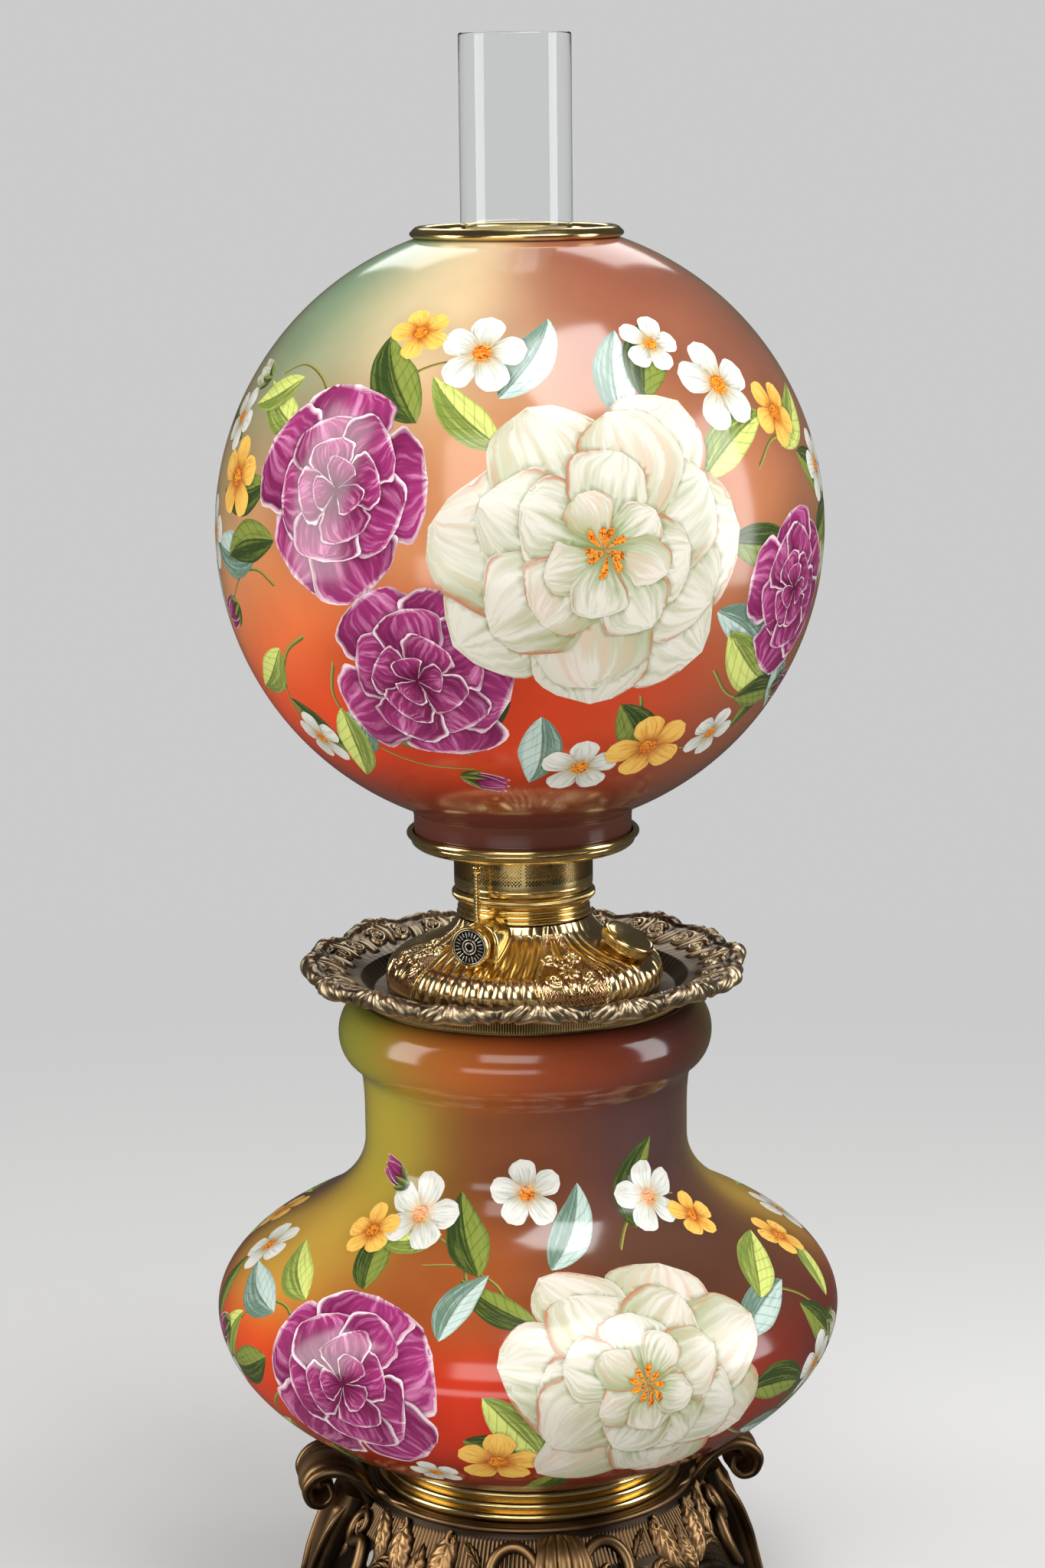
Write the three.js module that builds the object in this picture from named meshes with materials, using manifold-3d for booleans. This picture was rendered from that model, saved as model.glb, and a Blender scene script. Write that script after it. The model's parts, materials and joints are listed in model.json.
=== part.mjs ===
// A tall parlor lamp with a painted ball shade over a painted vase, and a drop-in oil font.
// Millimetres, +Z up. The origin is on the lamp's axis, at the level that it stands on.
// The front faces -Y. Angles round the axis are counted from the front towards the right.
import * as THREE from "three";
import { mergeVertices } from "three/addons/utils/BufferGeometryUtils.js";
import Module from "manifold-3d";

const wasm = await Module();
wasm.setup();

// Fits
const seatGap = 0.3; // between pieces that rest on or are soldered to one another
const slideGap = 0.4; // round pieces that slide or turn in a hole
const cutOverrun = 2; // how far a cut runs past the face that it opens

// How many flat sides stand for a round one
const largeSides = 32;
const mediumSides = 20;
const smallSides = 12;
const holeSides = 8;
const rimSides = 64;
const curveSteps = 4;
const cornerSteps = 3;
const bellySteps = 5;
const lipSteps = 5;
const shadeOutsideSteps = 12;
const shadeInsideSteps = 8;
const mergeTolerance = 1e-3;

// Cast base
const baseHeight = 85;
const plateRadius = 78;
const plateThickness = 4.5;
const plateEdgeDrop = 4;
const apronReach = 99.5;
const apronBottom = 30;
const apronThickness = 4;
const airHoleRadius = 9;
const airHoleReach = 34;
const airHoleCount = 6;
const legCount = 4;
const legTurn = THREE.MathUtils.degToRad(9);
const legTopWidth = 40;
const legWaistWidth = 18;
const legFootWidth = 30;
const footReach = 121;
const earRise = 11; // how far the scroll at the top of a side leg stands above the plate
const earReach = 109;
const earHoleRadius = 3.6;
const earHoleDropShare = 2.3; // of the hole's radius, from the scroll's top to its middle
const archHalfWidth = 34;
const archRise = 22; // from the apron's lower edge
const apronHoleRadius = 5;
const apronHoleHeight = 60;
const apronHoleTurn = THREE.MathUtils.degToRad(24); // from the middle of a leg

// Clamp that draws the vase down on the base
const rodRadius = 3;
const rodBelowPlate = 22;
const rodAboveNut = 4;
const nutRadius = 6.6;
const nutHeight = 5;
const nutSides = 6;
const washerRadius = 13;
const washerThickness = 1.5;
const spiderRadius = 54;
const spiderThickness = 3;
const spiderHoleRadius = 13;
const spiderHoleReach = 30;
const spiderHoleCount = 4;
const padThickness = 1.5;
const padWidth = 6;

// Brass ring under the vase
const ringHeight = 14;
const ringRadius = 73;
const ringBore = 56;
const ringStep = 1.7; // how far each of the three steps is drawn in
const ringStepCount = 3;
const ringBeadBulge = 1.2;
const ringLedgeDepth = 1.3;
const ringRimWidth = 2.4;
const footWasherWidth = 6;

// Vase
const bellyRadius = 145.5;
const lowerBellyDepth = 80;
const lowerBellyRound = 1.9; // exponent of the rounded curve below the widest place
const upperBellyDepth = 62;
const vaseFootRadius = 67;
const neckRadius = 75;
const neckBottomHeight = 150.4; // the vase's heights are above its own foot
const neckTopHeight = 173.4;
const blendRadius = 110; // where the belly's curve turns into the neck's
const lipHeight = 200.4;
const lipReach = 86.6;
const lipHalfWidth = 12;
const lipHalfHeight = 15.7;
const lipFromShare = -0.42; // of half a turn, where the lip's curve starts below its widest place
const mouthRadius = 68;
const mouthRound = 3;
const vaseWall = 6;
const vaseFloorHole = 45;

// Reeded collar band on the vase's mouth, and the plaster that holds it
const bandRadius = 75.7;
const bandHeight = 7;
const bandWall = 1.2;
const skirtDepth = 14;
const fontHoleRadius = 61;

// Crown casting
const crownReach = 103.5;
const crownRise = 14.5; // from the crown's floor to its rim
const crownFloor = 2;
const crownFit = 0.8; // between the crown and the band's wall
const crownWall = 2.6; // above the collar band
const crownRimThickness = 5;
const crownLobeDepth = 3;
const crownMiddleLobeShare = 0.3;
const crownLobeCount = 16;
const crownWaveRise = 2.2;
const crownWaveCount = 8;
const crownUnderShares = [0.4, 0.3]; // the height and the wave half way out, below and above
const crownOverShares = [0.58, 0.4];

// Font: the embossed dome and the bowl below it
const domeRadius = 63.7;
const domeHeight = 34.7;
const domeNeckRadius = 31;
const domeWall = 1;
const bowlRadius = 59;
const bowlDepth = 115;
const bowlRound = 15;
const bowlTopRise = 1.2; // how far the bowl's edge reaches up inside the dome
const bowlWall = 1;

// Tubes of the burner, and the wick between them
const draftTubeRadius = 11.5;
const tubeWall = 0.8;
const draftTubeDrop = 4; // below the font's bowl
const wickThickness = 2.7;
const wickLength = 160;
const wickShowing = 4; // how far the raised wick stands above the outer tube
const wickTubeRise = 36.5; // from the dome's top
const wickTubeDrop = 26;
const tubeFlangeRadius = 26.5;
const tubeFlangeThickness = 1;

// Stepped collar on the dome
const collarHeight = 7.4;
const collarStepCount = 3;
const collarBeadBulge = 0.8;
const collarWall = 3.2;

// Burner that stands on the collar
const knurledRadius = 33.1;
const knurledHeight = 5.1;
const basketRadius = 32;
const basketHeight = 19.1;
const basketWall = 0.8;
const basketFlangeRadius = 35.6;
const deckHeight = 8.3; // above the basket's bottom
const deckThickness = 1;
const deckHoleRadius = 18;
const prongHeight = 13;
const prongThickness = 0.7;
const prongCount = 8;
const prongSlotWidth = 5;
const prongBandShare = 0.25; // of the prongs' height, left whole below the slots

// Shade holder ring
const holderRadius = 53.5;
const holderHeight = 7.7;
const holderWall = 1.6;
const holderShelf = 1;
const holderHoleRadius = 33;
const holderTaper = 2.4;

// Ball shade and its trim ring
const shadeRadius = 137.3;
const shadeCentreHeight = 144.6; // above the bottom of its neck
const shadeWall = 4;
const shadeNeckRadius = 50;
const shadeTopRadius = 43;
const trimReach = 47.8;
const trimRise = 3.8;
const trimBoreWall = 1.2;
const trimSkirtDepth = 6;

// Chimney
const chimneyLength = 374.5;
const chimneyRadius = 25;
const chimneyBaseRadius = 28.2;
const chimneyBulgeRadius = 31.6;
const chimneyWall = 2;
const chimneyBaseHeight = 15;
const chimneyBulgeHeight = 40;
const chimneyShoulderHeight = 76;

// Flame spreader
const spreaderStemDepth = 18;
const spreaderStemWall = 0.6;
const spreaderBead = 1;
const spreaderRise = 13;
const spreaderFlareRadius = 13.5;
const spreaderDiscRadius = 15.6;
const spreaderDiscThickness = 1.6;

// Wick raiser
const raiserTurn = THREE.MathUtils.degToRad(-27);
const shaftDrop = 4.5; // the shaft's height below the dome's top
const shaftRadius = 1.5;
const pinionReach = 37.5; // from the lamp's axis to the middle of the pinion
const pinionWidth = 4;
const pinionTeeth = 14;
const toothModule = 0.5;
const pinionAddendum = 0.45;
const rackDedendum = 0.6;
const toothBacklash = 0.12;
const pressureAngle = THREE.MathUtils.degToRad(20);
const rootLeanShare = 0.6; // how much of the straight flank's lean the pinion's root takes
const tipLeanShare = 1.35; // and its tip, whose flank is curved
const rackRadius = 1.6;
const rackTopRise = 28.2; // the ball's middle above the dome's top, with the wick raised
const ballRadius = 2.1;
const rackLength = 85;
const armRise = 4; // the carrier arm above the rod's lower end
const armThickness = 4;
const armWidth = 6;
const carrierWall = 1.2;
const carrierHeight = 22;
const carrierDrop = 6; // below the arm
const caseHalfWidth = 9.4;
const caseDepth = 14;
const caseFront = 45.5;
const caseDrop = 10.2; // below the shaft
const bushRadius = 3.6;
const knobRadius = 9.3;
const knobThickness = 4.6;
const knobBack = 50; // from the lamp's axis
const knobRim = 0.9;
const knobFaceDepth = 1.4;
const knobBossRadius = 2.4;
const knobBossRise = 0.5;

// Filler
const fillerTurn = THREE.MathUtils.degToRad(68);
const fillerTilt = THREE.MathUtils.degToRad(28);
const fillerReach = 48.2;
const fillerHeightShare = 0.596; // of the dome's height, where the filler's middle meets it
const fillerNeckRadius = 8.6;
const fillerNeckWall = 1.4;
const fillerNeckRise = 6.2;
const fillerNeckDrop = 3;
const capRadius = 12.5;
const capHeight = 5.6;
const capTopThickness = 1;
const capCrown = 0.8;
const gasketThickness = 0.7;

// Levels, worked out from the bottom up
const plateTop = baseHeight;
const ringBottom = plateTop + seatGap;
const ringTop = ringBottom + ringHeight;
const vaseFoot = ringTop + seatGap;
const vaseTop = vaseFoot + lipHeight + lipHalfHeight;
const bandBottom = vaseTop + seatGap;
const bandTop = bandBottom + bandHeight;
const crownBottom = bandBottom + bandWall + seatGap;
const crownFloorTop = crownBottom + crownFloor;
const domeBottom = crownFloorTop + seatGap;
const domeTop = domeBottom + domeHeight;
const collarBottom = domeTop + seatGap;
const collarTop = collarBottom + collarHeight;
const knurledBottom = collarTop + seatGap;
const knurledTop = knurledBottom + knurledHeight;
const basketBottom = knurledTop + seatGap;
const basketTop = basketBottom + basketHeight;
const deckTop = basketBottom + deckHeight + deckThickness;
const holderBottom = basketTop + seatGap;
const shadeBottom = holderBottom + holderShelf + seatGap;
const shadeCentre = shadeBottom + shadeCentreHeight;
const chimneyBottom = deckTop + seatGap;
const wickTubeTop = domeTop + wickTubeRise;
const shaftHeight = domeTop - shaftDrop;
const bowlBottom = domeBottom - bowlDepth;

// Radii that follow from fits
const wickInside = draftTubeRadius + slideGap;
const wickOutside = wickInside + wickThickness;
const wickTubeBore = wickOutside + slideGap;
const pitchRadius = (pinionTeeth * toothModule) / 2;
const toothPitch = Math.PI * toothModule;
const rackOffset = pitchRadius - pinionAddendum + rackRadius; // rod's middle, left of the shaft

// Finishes
const finish = (color, roughness, metalness) =>
  new THREE.MeshStandardMaterial({ color, roughness, metalness });
const castBrass = finish(0x6d5a36, 0.55, 0.9);
const crownBronze = finish(0x5a4a35, 0.45, 0.9);
const polishedBrass = finish(0xc9a24a, 0.2, 1);
const sheetBrass = finish(0xa8873f, 0.35, 1);
const vaseGlaze = finish(0x7a3a1e, 0.15, 0);
const shadeGlass = finish(0xc98a5a, 0.2, 0);
const steel = finish(0x77777a, 0.4, 1);
const blackened = finish(0x1c1a18, 0.5, 0.6);
const cork = finish(0x8a6a48, 0.9, 0);
const plaster = finish(0xd8d2c4, 0.9, 0);
const cotton = finish(0xe8e2d2, 0.95, 0);
const clearGlass = new THREE.MeshStandardMaterial({
  color: 0xe8f0f0,
  roughness: 0.03,
  metalness: 0,
  transparent: true,
  opacity: 0.35,
});

// Small helpers
const between = (from, to, share) => from + (to - from) * share;
const steps = (count) => Array.from({ length: count + 1 }, (_, i) => i / count);

// A geometry as a manifold solid, and back again
function solid(geometry) {
  const bare = geometry.clone();
  bare.deleteAttribute("normal");
  bare.deleteAttribute("uv");
  const merged = mergeVertices(bare, mergeTolerance);
  return new wasm.Manifold(
    new wasm.Mesh({
      numProp: 3,
      vertProperties: merged.attributes.position.array,
      triVerts: new Uint32Array(merged.index.array),
    }),
  );
}

function geometryOf(body) {
  const mesh = body.getMesh();
  const geometry = new THREE.BufferGeometry();
  const places = new THREE.BufferAttribute(new Float32Array(mesh.vertProperties), 3);
  geometry.setAttribute("position", places);
  geometry.setIndex(new THREE.BufferAttribute(new Uint32Array(mesh.triVerts), 1));
  geometry.computeVertexNormals();
  return geometry;
}

const cut = (geometry, ...tools) =>
  geometryOf(tools.reduce((body, tool) => body.subtract(solid(tool)), solid(geometry)));
const common = (one, other) => geometryOf(solid(one).intersect(solid(other)));
const join = (geometry, ...more) =>
  geometryOf(more.reduce((body, extra) => body.add(solid(extra)), solid(geometry)));

// A turned piece. The outline is [radius, height] pairs, closed on itself or on the axis.
function turned(outline, sides = largeSides) {
  const places = outline.map(([r, z]) => new THREE.Vector2(r, z));
  if (THREE.ShapeUtils.area(places) < 0) places.reverse();
  const onAxis = places.findIndex((p) => p.x === 0);
  if (onAxis < 0) places.push(places[0].clone());
  while (places.some((p) => p.x === 0) && !(places[0].x === 0 && places.at(-1).x === 0)) {
    places.push(places.shift());
  }
  const geometry = new THREE.LatheGeometry(places, sides);
  geometry.rotateX(Math.PI / 2);
  return geometry;
}

const tube = (bore, radius, bottom, top, sides = largeSides) =>
  turned([[bore, bottom], [radius, bottom], [radius, top], [bore, top]], sides);

// A round bar from bottom to top, used for pins and for cutting round holes
const bar = (radius, bottom, top, sides = smallSides) =>
  turned([[0, bottom], [radius, bottom], [radius, top], [0, top]], sides);

// A flat outline in the x and height plane, with its thickness spread evenly about y = 0
function plateOf(shape, thickness) {
  const geometry = new THREE.ExtrudeGeometry(shape, {
    depth: thickness,
    bevelEnabled: false,
    curveSegments: curveSteps,
  });
  geometry.translate(0, 0, -thickness / 2);
  geometry.rotateX(Math.PI / 2);
  return geometry;
}

const shapeOf = (outline) => new THREE.Shape(outline.map(([x, y]) => new THREE.Vector2(x, y)));

// Turns a geometry whose outward side is +X so that it points to an angle round the lamp
const towards = (geometry, angle) => geometry.rotateZ(angle - Math.PI / 2);

// A flat outline in the plane across the outward direction, as a block that reaches past the feet
function outwardPlate(shape) {
  const geometry = plateOf(shape, footReach);
  geometry.rotateZ(Math.PI / 2);
  return geometry.translate(footReach, 0, 0);
}

// A round hole's cutter that points outwards, from one radius to another
function radialBar(radius, height, from, to, angle) {
  const tool = bar(radius, from, to, holeSides);
  tool.rotateY(Math.PI / 2);
  tool.translate(0, 0, height);
  return towards(tool, angle);
}

// Points of a round bead between two heights
const bead = (radius, bulge, bottom, top, count = 2) =>
  steps(count).map((t) => {
    const angle = Math.PI * (t - 0.5);
    return [radius + bulge * Math.cos(angle), between(bottom, top, 0.5 + 0.5 * Math.sin(angle))];
  });

// An outline that runs upwards, moved in by a wall's thickness
function inset(outline, depth) {
  return outline.map(([r, z], i) => {
    const [r0, z0] = outline[Math.max(i - 1, 0)];
    const [r1, z1] = outline[Math.min(i + 1, outline.length - 1)];
    const length = Math.hypot(r1 - r0, z1 - z0);
    return [r - (depth * (z1 - z0)) / length, z + (depth * (r1 - r0)) / length];
  });
}

const lamp = new THREE.Group();
const stand = new THREE.Group();
const font = new THREE.Group();
const burner = new THREE.Group();
lamp.add(stand, font, burner);

function piece(group, name, geometry, material) {
  const mesh = new THREE.Mesh(geometry, material);
  mesh.name = name;
  group.add(mesh);
  return mesh;
}

// Cast base: a bell with a flat top, four scrolled legs, arches and piercings
function castBase() {
  const plateUnder = plateTop - plateThickness;
  const edge = plateTop - plateEdgeDrop;
  const bellOut = (share) => [
    between(plateRadius, apronReach, Math.sin((share * Math.PI) / 2)),
    between(edge, apronBottom, share),
  ];
  const out = steps(curveSteps).map(bellOut);
  const back = out.map(([r, z]) => [r - apronThickness, Math.min(z, plateUnder)]).reverse();
  const hole = rodRadius + slideGap;
  let base = turned([
    [hole, plateUnder],
    [hole, plateTop],
    [plateRadius - plateEdgeDrop / 2, plateTop],
    ...out,
    ...back,
  ]);

  const earTop = plateTop + earRise;
  // Radius as a share from the plate's edge to the reach named, height as a share of the ear's top
  const earShares = [
    [0.04, 0.85, footReach],
    [0.4, 0.955, earReach],
    [0.7, 1, earReach],
    [1, 0.9, earReach],
    [0.9, 0.8, earReach],
  ];
  const shoulderShares = [
    [0.04, 0.85, footReach],
    [0.28, 0.83, footReach],
    [0.45, 0.76, footReach],
  ];
  const legShares = [
    [0.5, 0.69, footReach],
    [0.68, 0.42, footReach],
    [0.8, 0.22, footReach],
    [1, 0.055, footReach],
    [1, 0, footReach],
    [0.6, 0, footReach],
    [0.44, 0.24, footReach],
    [0.3, 0.5, footReach],
    [0, 0.78, footReach],
  ];
  const legSide = (topShares) =>
    shapeOf([...topShares, ...legShares].map(([r, z, reach]) => [
      between(plateRadius, reach, r),
      earTop * z,
    ]));
  const earPlaceShare = 0.7;
  const earHole = new THREE.Path();
  const earHoleReach = between(plateRadius, earReach, earPlaceShare);
  const earHoleHeight = earTop - earHoleRadius * earHoleDropShare;
  earHole.absarc(earHoleReach, earHoleHeight, earHoleRadius, 0, Math.PI * 2);
  const earedSide = legSide(earShares);
  earedSide.holes.push(earHole);

  // Width as a share between the waist's and the width named, height as a share of the ear's top
  const legFaceShares = [
    [0.45, 1, legTopWidth],
    [1, 0.88, legTopWidth],
    [0.35, 0.55, legTopWidth],
    [0, 0.3, legTopWidth],
    [1, 0.06, legFootWidth],
    [1, 0, legFootWidth],
  ];
  const legHalfFace = legFaceShares.map(([share, z, width]) => [
    between(legWaistWidth, width, share) / 2,
    earTop * z,
  ]);
  const otherHalf = legHalfFace.map(([x, z]) => [-x, z]).reverse();
  const legFace = outwardPlate(shapeOf([...legHalfFace, ...otherHalf]));
  const [plainLeg, earedLeg] = [legSide(shoulderShares), earedSide].map((side) =>
    common(plateOf(side, legTopWidth + cutOverrun), legFace.clone()),
  );

  const arch = new THREE.Shape();
  arch.moveTo(-archHalfWidth, -cutOverrun);
  arch.lineTo(archHalfWidth, -cutOverrun);
  arch.absellipse(0, apronBottom, archHalfWidth, archRise, 0, Math.PI);
  const archTool = outwardPlate(arch);

  const tools = [];
  for (let i = 0; i < legCount; i++) {
    const angle = legTurn + (i * 2 * Math.PI) / legCount;
    const leg = i % 2 ? earedLeg : plainLeg; // the scrolls stand up at the two sides alone
    base = join(base, towards(leg.clone(), angle));
    tools.push(towards(archTool.clone(), angle + Math.PI / legCount));
    for (const side of [-1, 1]) {
      const turn = angle + side * apronHoleTurn;
      const from = plateRadius - cutOverrun;
      tools.push(radialBar(apronHoleRadius, apronHoleHeight, from, footReach, turn));
    }
  }
  for (let i = 0; i < airHoleCount; i++) {
    const angle = (i * 2 * Math.PI) / airHoleCount;
    const bottom = plateUnder - cutOverrun;
    const tool = bar(airHoleRadius, bottom, plateTop + cutOverrun, holeSides);
    tool.translate(airHoleReach, 0, 0);
    tools.push(tool.rotateZ(angle));
  }
  return cut(base, ...tools);
}
piece(stand, "cast_base", castBase(), castBrass);

// Stepped ring under the vase, with a ledge for the washer
const ringRimBore = ringRadius - (ringStepCount - 1) * ringStep - ringBeadBulge - ringRimWidth;
function baseRing() {
  const stepHeight = ringHeight / ringStepCount;
  const beads = steps(ringStepCount).slice(0, -1).flatMap((share, i) => {
    const radius = ringRadius - ringBeadBulge - i * ringStep;
    const bottom = ringBottom + share * ringHeight;
    return bead(radius, ringBeadBulge, bottom, bottom + stepHeight);
  });
  return turned([
    [ringBore, ringBottom],
    ...beads,
    [ringRimBore, ringTop],
    [ringRimBore, ringTop - ringLedgeDepth],
    [ringBore, ringTop - ringLedgeDepth],
  ]);
}
piece(stand, "base_ring", baseRing(), polishedBrass);

const footWasherTop = ringTop;
const footWasherBottom = ringTop - ringLedgeDepth + seatGap;
const footWasherRadius = ringRimBore - seatGap;
const footWasherBore = footWasherRadius - footWasherWidth;
piece(
  stand,
  "foot_washer",
  tube(footWasherBore, footWasherRadius, footWasherBottom, footWasherTop, mediumSides),
  cork,
);

// The vase's outer outline from its foot to the top of its lip
function roundedCurve(radius, depth, round) {
  return (drop) => radius * (1 - (drop / depth) ** round) ** (1 / round);
}
const lowerBelly = roundedCurve(bellyRadius, lowerBellyDepth, lowerBellyRound);
const upperBelly = roundedCurve(bellyRadius, upperBellyDepth, 2);
const footDrop =
  lowerBellyDepth *
  (1 - (vaseFootRadius / bellyRadius) ** lowerBellyRound) ** (1 / lowerBellyRound);
const bellyCentre = vaseFoot + footDrop;
const blendRise = upperBellyDepth * Math.sqrt(1 - (blendRadius / bellyRadius) ** 2);

function vaseOutside() {
  const below = steps(bellySteps).map((t) => {
    const drop = footDrop * Math.cos((t * Math.PI) / 2);
    return [lowerBelly(drop), bellyCentre - drop];
  });
  const above = steps(cornerSteps)
    .slice(1)
    .map((t) => [upperBelly(blendRise * t), bellyCentre + blendRise * t]);
  const slope = (upperBellyDepth ** 2 * blendRadius) / (bellyRadius ** 2 * blendRise);
  const meet = bellyCentre + blendRise + slope * (blendRadius - neckRadius);
  const blend = new THREE.QuadraticBezierCurve(
    new THREE.Vector2(blendRadius, bellyCentre + blendRise),
    new THREE.Vector2(neckRadius, meet),
    new THREE.Vector2(neckRadius, vaseFoot + neckBottomHeight),
  );
  const neck = blend.getPoints(curveSteps).slice(1).map((p) => [p.x, p.y]);
  const lipMiddle = lipReach - lipHalfWidth;
  const lip = steps(lipSteps).map((t) => {
    const angle = Math.PI * between(lipFromShare, 0.5, t);
    return [
      lipMiddle + lipHalfWidth * Math.cos(angle),
      vaseFoot + lipHeight + lipHalfHeight * Math.sin(angle),
    ];
  });
  return [...below, ...above, ...neck, [neckRadius, vaseFoot + neckTopHeight], ...lip];
}

function vaseBody() {
  const outside = vaseOutside();
  const floorTop = vaseFoot + vaseWall;
  const walls = inset(outside.slice(0, -lipSteps - 1), vaseWall).filter(
    ([r, z], i) => i % 2 === 0 && z > floorTop + vaseWall && r > mouthRadius,
  );
  return turned([
    [vaseFloorHole, vaseFoot],
    ...outside,
    [mouthRadius + mouthRound, vaseTop],
    [mouthRadius, vaseTop - mouthRound],
    ...walls.reverse(),
    [vaseFootRadius, floorTop],
    [vaseFloorHole, floorTop],
  ]);
}
piece(stand, "vase_body", vaseBody(), vaseGlaze);

// Clamp: a spider inside the vase's foot, drawn down by a rod with a nut at each end
const padBottom = vaseFoot + vaseWall + seatGap;
const spiderBottom = padBottom + padThickness + seatGap;
const spiderTop = spiderBottom + spiderThickness;
piece(
  stand,
  "spider_pad",
  tube(vaseFloorHole, vaseFloorHole + padWidth, padBottom, padBottom + padThickness, mediumSides),
  cork,
);

function clampSpider() {
  const plate = tube(rodRadius + slideGap, spiderRadius, spiderBottom, spiderTop, mediumSides);
  const tools = steps(spiderHoleCount).slice(1).map((share) => {
    const bottom = spiderBottom - cutOverrun;
    const tool = bar(spiderHoleRadius, bottom, spiderTop + cutOverrun);
    tool.translate(spiderHoleReach, 0, 0);
    return tool.rotateZ(share * 2 * Math.PI);
  });
  return cut(plate, ...tools);
}
piece(stand, "clamp_spider", clampSpider(), steel);

const washerTop = plateTop - plateThickness - seatGap;
const lowerNutTop = washerTop - washerThickness - seatGap;
const upperNutBottom = spiderTop + seatGap;
const nutBore = rodRadius + seatGap;
piece(
  stand,
  "clamp_rod",
  bar(rodRadius, plateTop - rodBelowPlate, upperNutBottom + nutHeight + rodAboveNut),
  steel,
);
piece(
  stand,
  "lower_washer",
  tube(nutBore, washerRadius, washerTop - washerThickness, washerTop, mediumSides),
  steel,
);
function nut(bottom) {
  const block = bar(nutRadius, bottom, bottom + nutHeight, nutSides);
  return cut(block, bar(nutBore, bottom - cutOverrun, bottom + nutHeight + cutOverrun));
}
piece(stand, "lower_nut", nut(lowerNutTop - nutHeight), steel);
piece(stand, "upper_nut", nut(upperNutBottom), steel);

// Collar on the vase's mouth: a reeded wall, a floor and a skirt set in plaster
const skirtBore = fontHoleRadius + seatGap + bandWall;
const skirtRadius = skirtBore + bandWall;
const skirtBottom = bandBottom - skirtDepth;
piece(
  stand,
  "collar_band",
  turned([
    [skirtBore, skirtBottom],
    [skirtRadius, skirtBottom],
    [skirtRadius, bandBottom],
    [bandRadius, bandBottom],
    [bandRadius, bandTop],
    [bandRadius - bandWall, bandTop],
    [bandRadius - bandWall, bandBottom + bandWall],
    [skirtBore, bandBottom + bandWall],
  ]),
  sheetBrass,
);
piece(
  stand,
  "mouth_plaster",
  tube(skirtRadius + seatGap, mouthRadius - seatGap, skirtBottom, vaseTop - mouthRound),
  plaster,
);

// A turned piece whose rim waves in and out, and up and down.
// The outline is [radius, height, share of the lobes, share of the wave].
function waved(outline, sides, lobe, wave) {
  const places = [];
  const faces = [];
  const count = outline.length;
  for (let i = 0; i < sides; i++) {
    const angle = (i / sides) * 2 * Math.PI;
    for (const [r, z, lobeShare, waveShare] of outline) {
      const radius = r - lobe(angle) * lobeShare;
      const height = z + wave(angle) * waveShare;
      places.push(radius * Math.sin(angle), -radius * Math.cos(angle), height);
    }
  }
  for (let i = 0; i < sides; i++) {
    const next = (i + 1) % sides;
    for (let j = 0; j < count; j++) {
      const up = (j + 1) % count;
      const [a, b, c, d] = [i * count + j, next * count + j, next * count + up, i * count + up];
      faces.push(a, b, c, a, c, d);
    }
  }
  const geometry = new THREE.BufferGeometry();
  geometry.setAttribute("position", new THREE.Float32BufferAttribute(places, 3));
  geometry.setIndex(faces);
  geometry.computeVertexNormals();
  return geometry;
}

// Crown: a dished casting that lies inside the band and spreads over it to a lobed rim
function crownCasting() {
  const wallRadius = bandRadius - bandWall - crownFit;
  const over = bandTop + seatGap;
  const rim = crownFloorTop + crownRise;
  const underReach = crownReach - crownRimThickness / 2;
  const middle = between(wallRadius, crownReach, 0.5);
  const [underShare, underWaveShare] = crownUnderShares;
  const [overShare, overWaveShare] = crownOverShares;
  const outline = [
    [fontHoleRadius, crownBottom, 0, 0],
    [wallRadius, crownBottom, 0, 0],
    [wallRadius, over, 0, 0],
    [bandRadius, over, 0, 0],
    [middle, between(over, rim - crownRimThickness, underShare), crownMiddleLobeShare, underWaveShare],
    [underReach, rim - crownRimThickness, 1, 1],
    [crownReach, rim - crownRimThickness / 2, 1, 1],
    [underReach, rim, 1, 1],
    [middle, between(over + crownWall, rim, overShare), crownMiddleLobeShare, overWaveShare],
    [bandRadius, over + crownWall, 0, 0],
    [wallRadius - crownFloor, crownFloorTop + crownFloor, 0, 0],
    [wallRadius - 2 * crownFloor, crownFloorTop, 0, 0],
    [fontHoleRadius, crownFloorTop, 0, 0],
  ];
  const lobe = (angle) =>
    crownLobeDepth * (1 - Math.abs(Math.sin((angle * crownLobeCount) / 2)));
  const wave = (angle) => (crownWaveRise / 2) * Math.cos(angle * crownWaveCount);
  return waved(outline, rimSides, lobe, wave);
}
piece(stand, "crown_casting", crownCasting(), crownBronze);

// Font dome: height shares from the bottom up, radius as shares from the neck to the edge
const domeShares = [
  [0.985, 0.05],
  [1, 0.165],
  [0.97, 0.32],
  [0.86, 0.455],
  [0.66, 0.55],
  [0.42, 0.64],
  [0.2, 0.755],
  [0.06, 0.88],
  [0, 1],
];
const domeOutside = domeShares.map(([r, z]) => [
  between(domeNeckRadius, domeRadius, r),
  domeBottom + domeHeight * z,
]);
const domeEdge = domeOutside[0][0];
const domeLipBore = bowlRadius + seatGap;

// The dome's outer form as one solid, made larger by a gap, for cutting what sits on it
const domeBlock = (gap) =>
  turned([
    [0, domeBottom],
    [domeEdge + gap, domeBottom],
    ...domeOutside.map(([r, z]) => [r + gap, z + gap]),
    [0, domeTop + gap],
  ]);

// The tilted frame of the filler, and the turned frame of the wick raiser
const fillerHeight = domeBottom + domeHeight * fillerHeightShare;
function toFiller(geometry) {
  geometry.rotateX(fillerTilt);
  geometry.translate(0, -fillerReach, fillerHeight);
  return geometry.rotateZ(fillerTurn);
}

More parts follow.
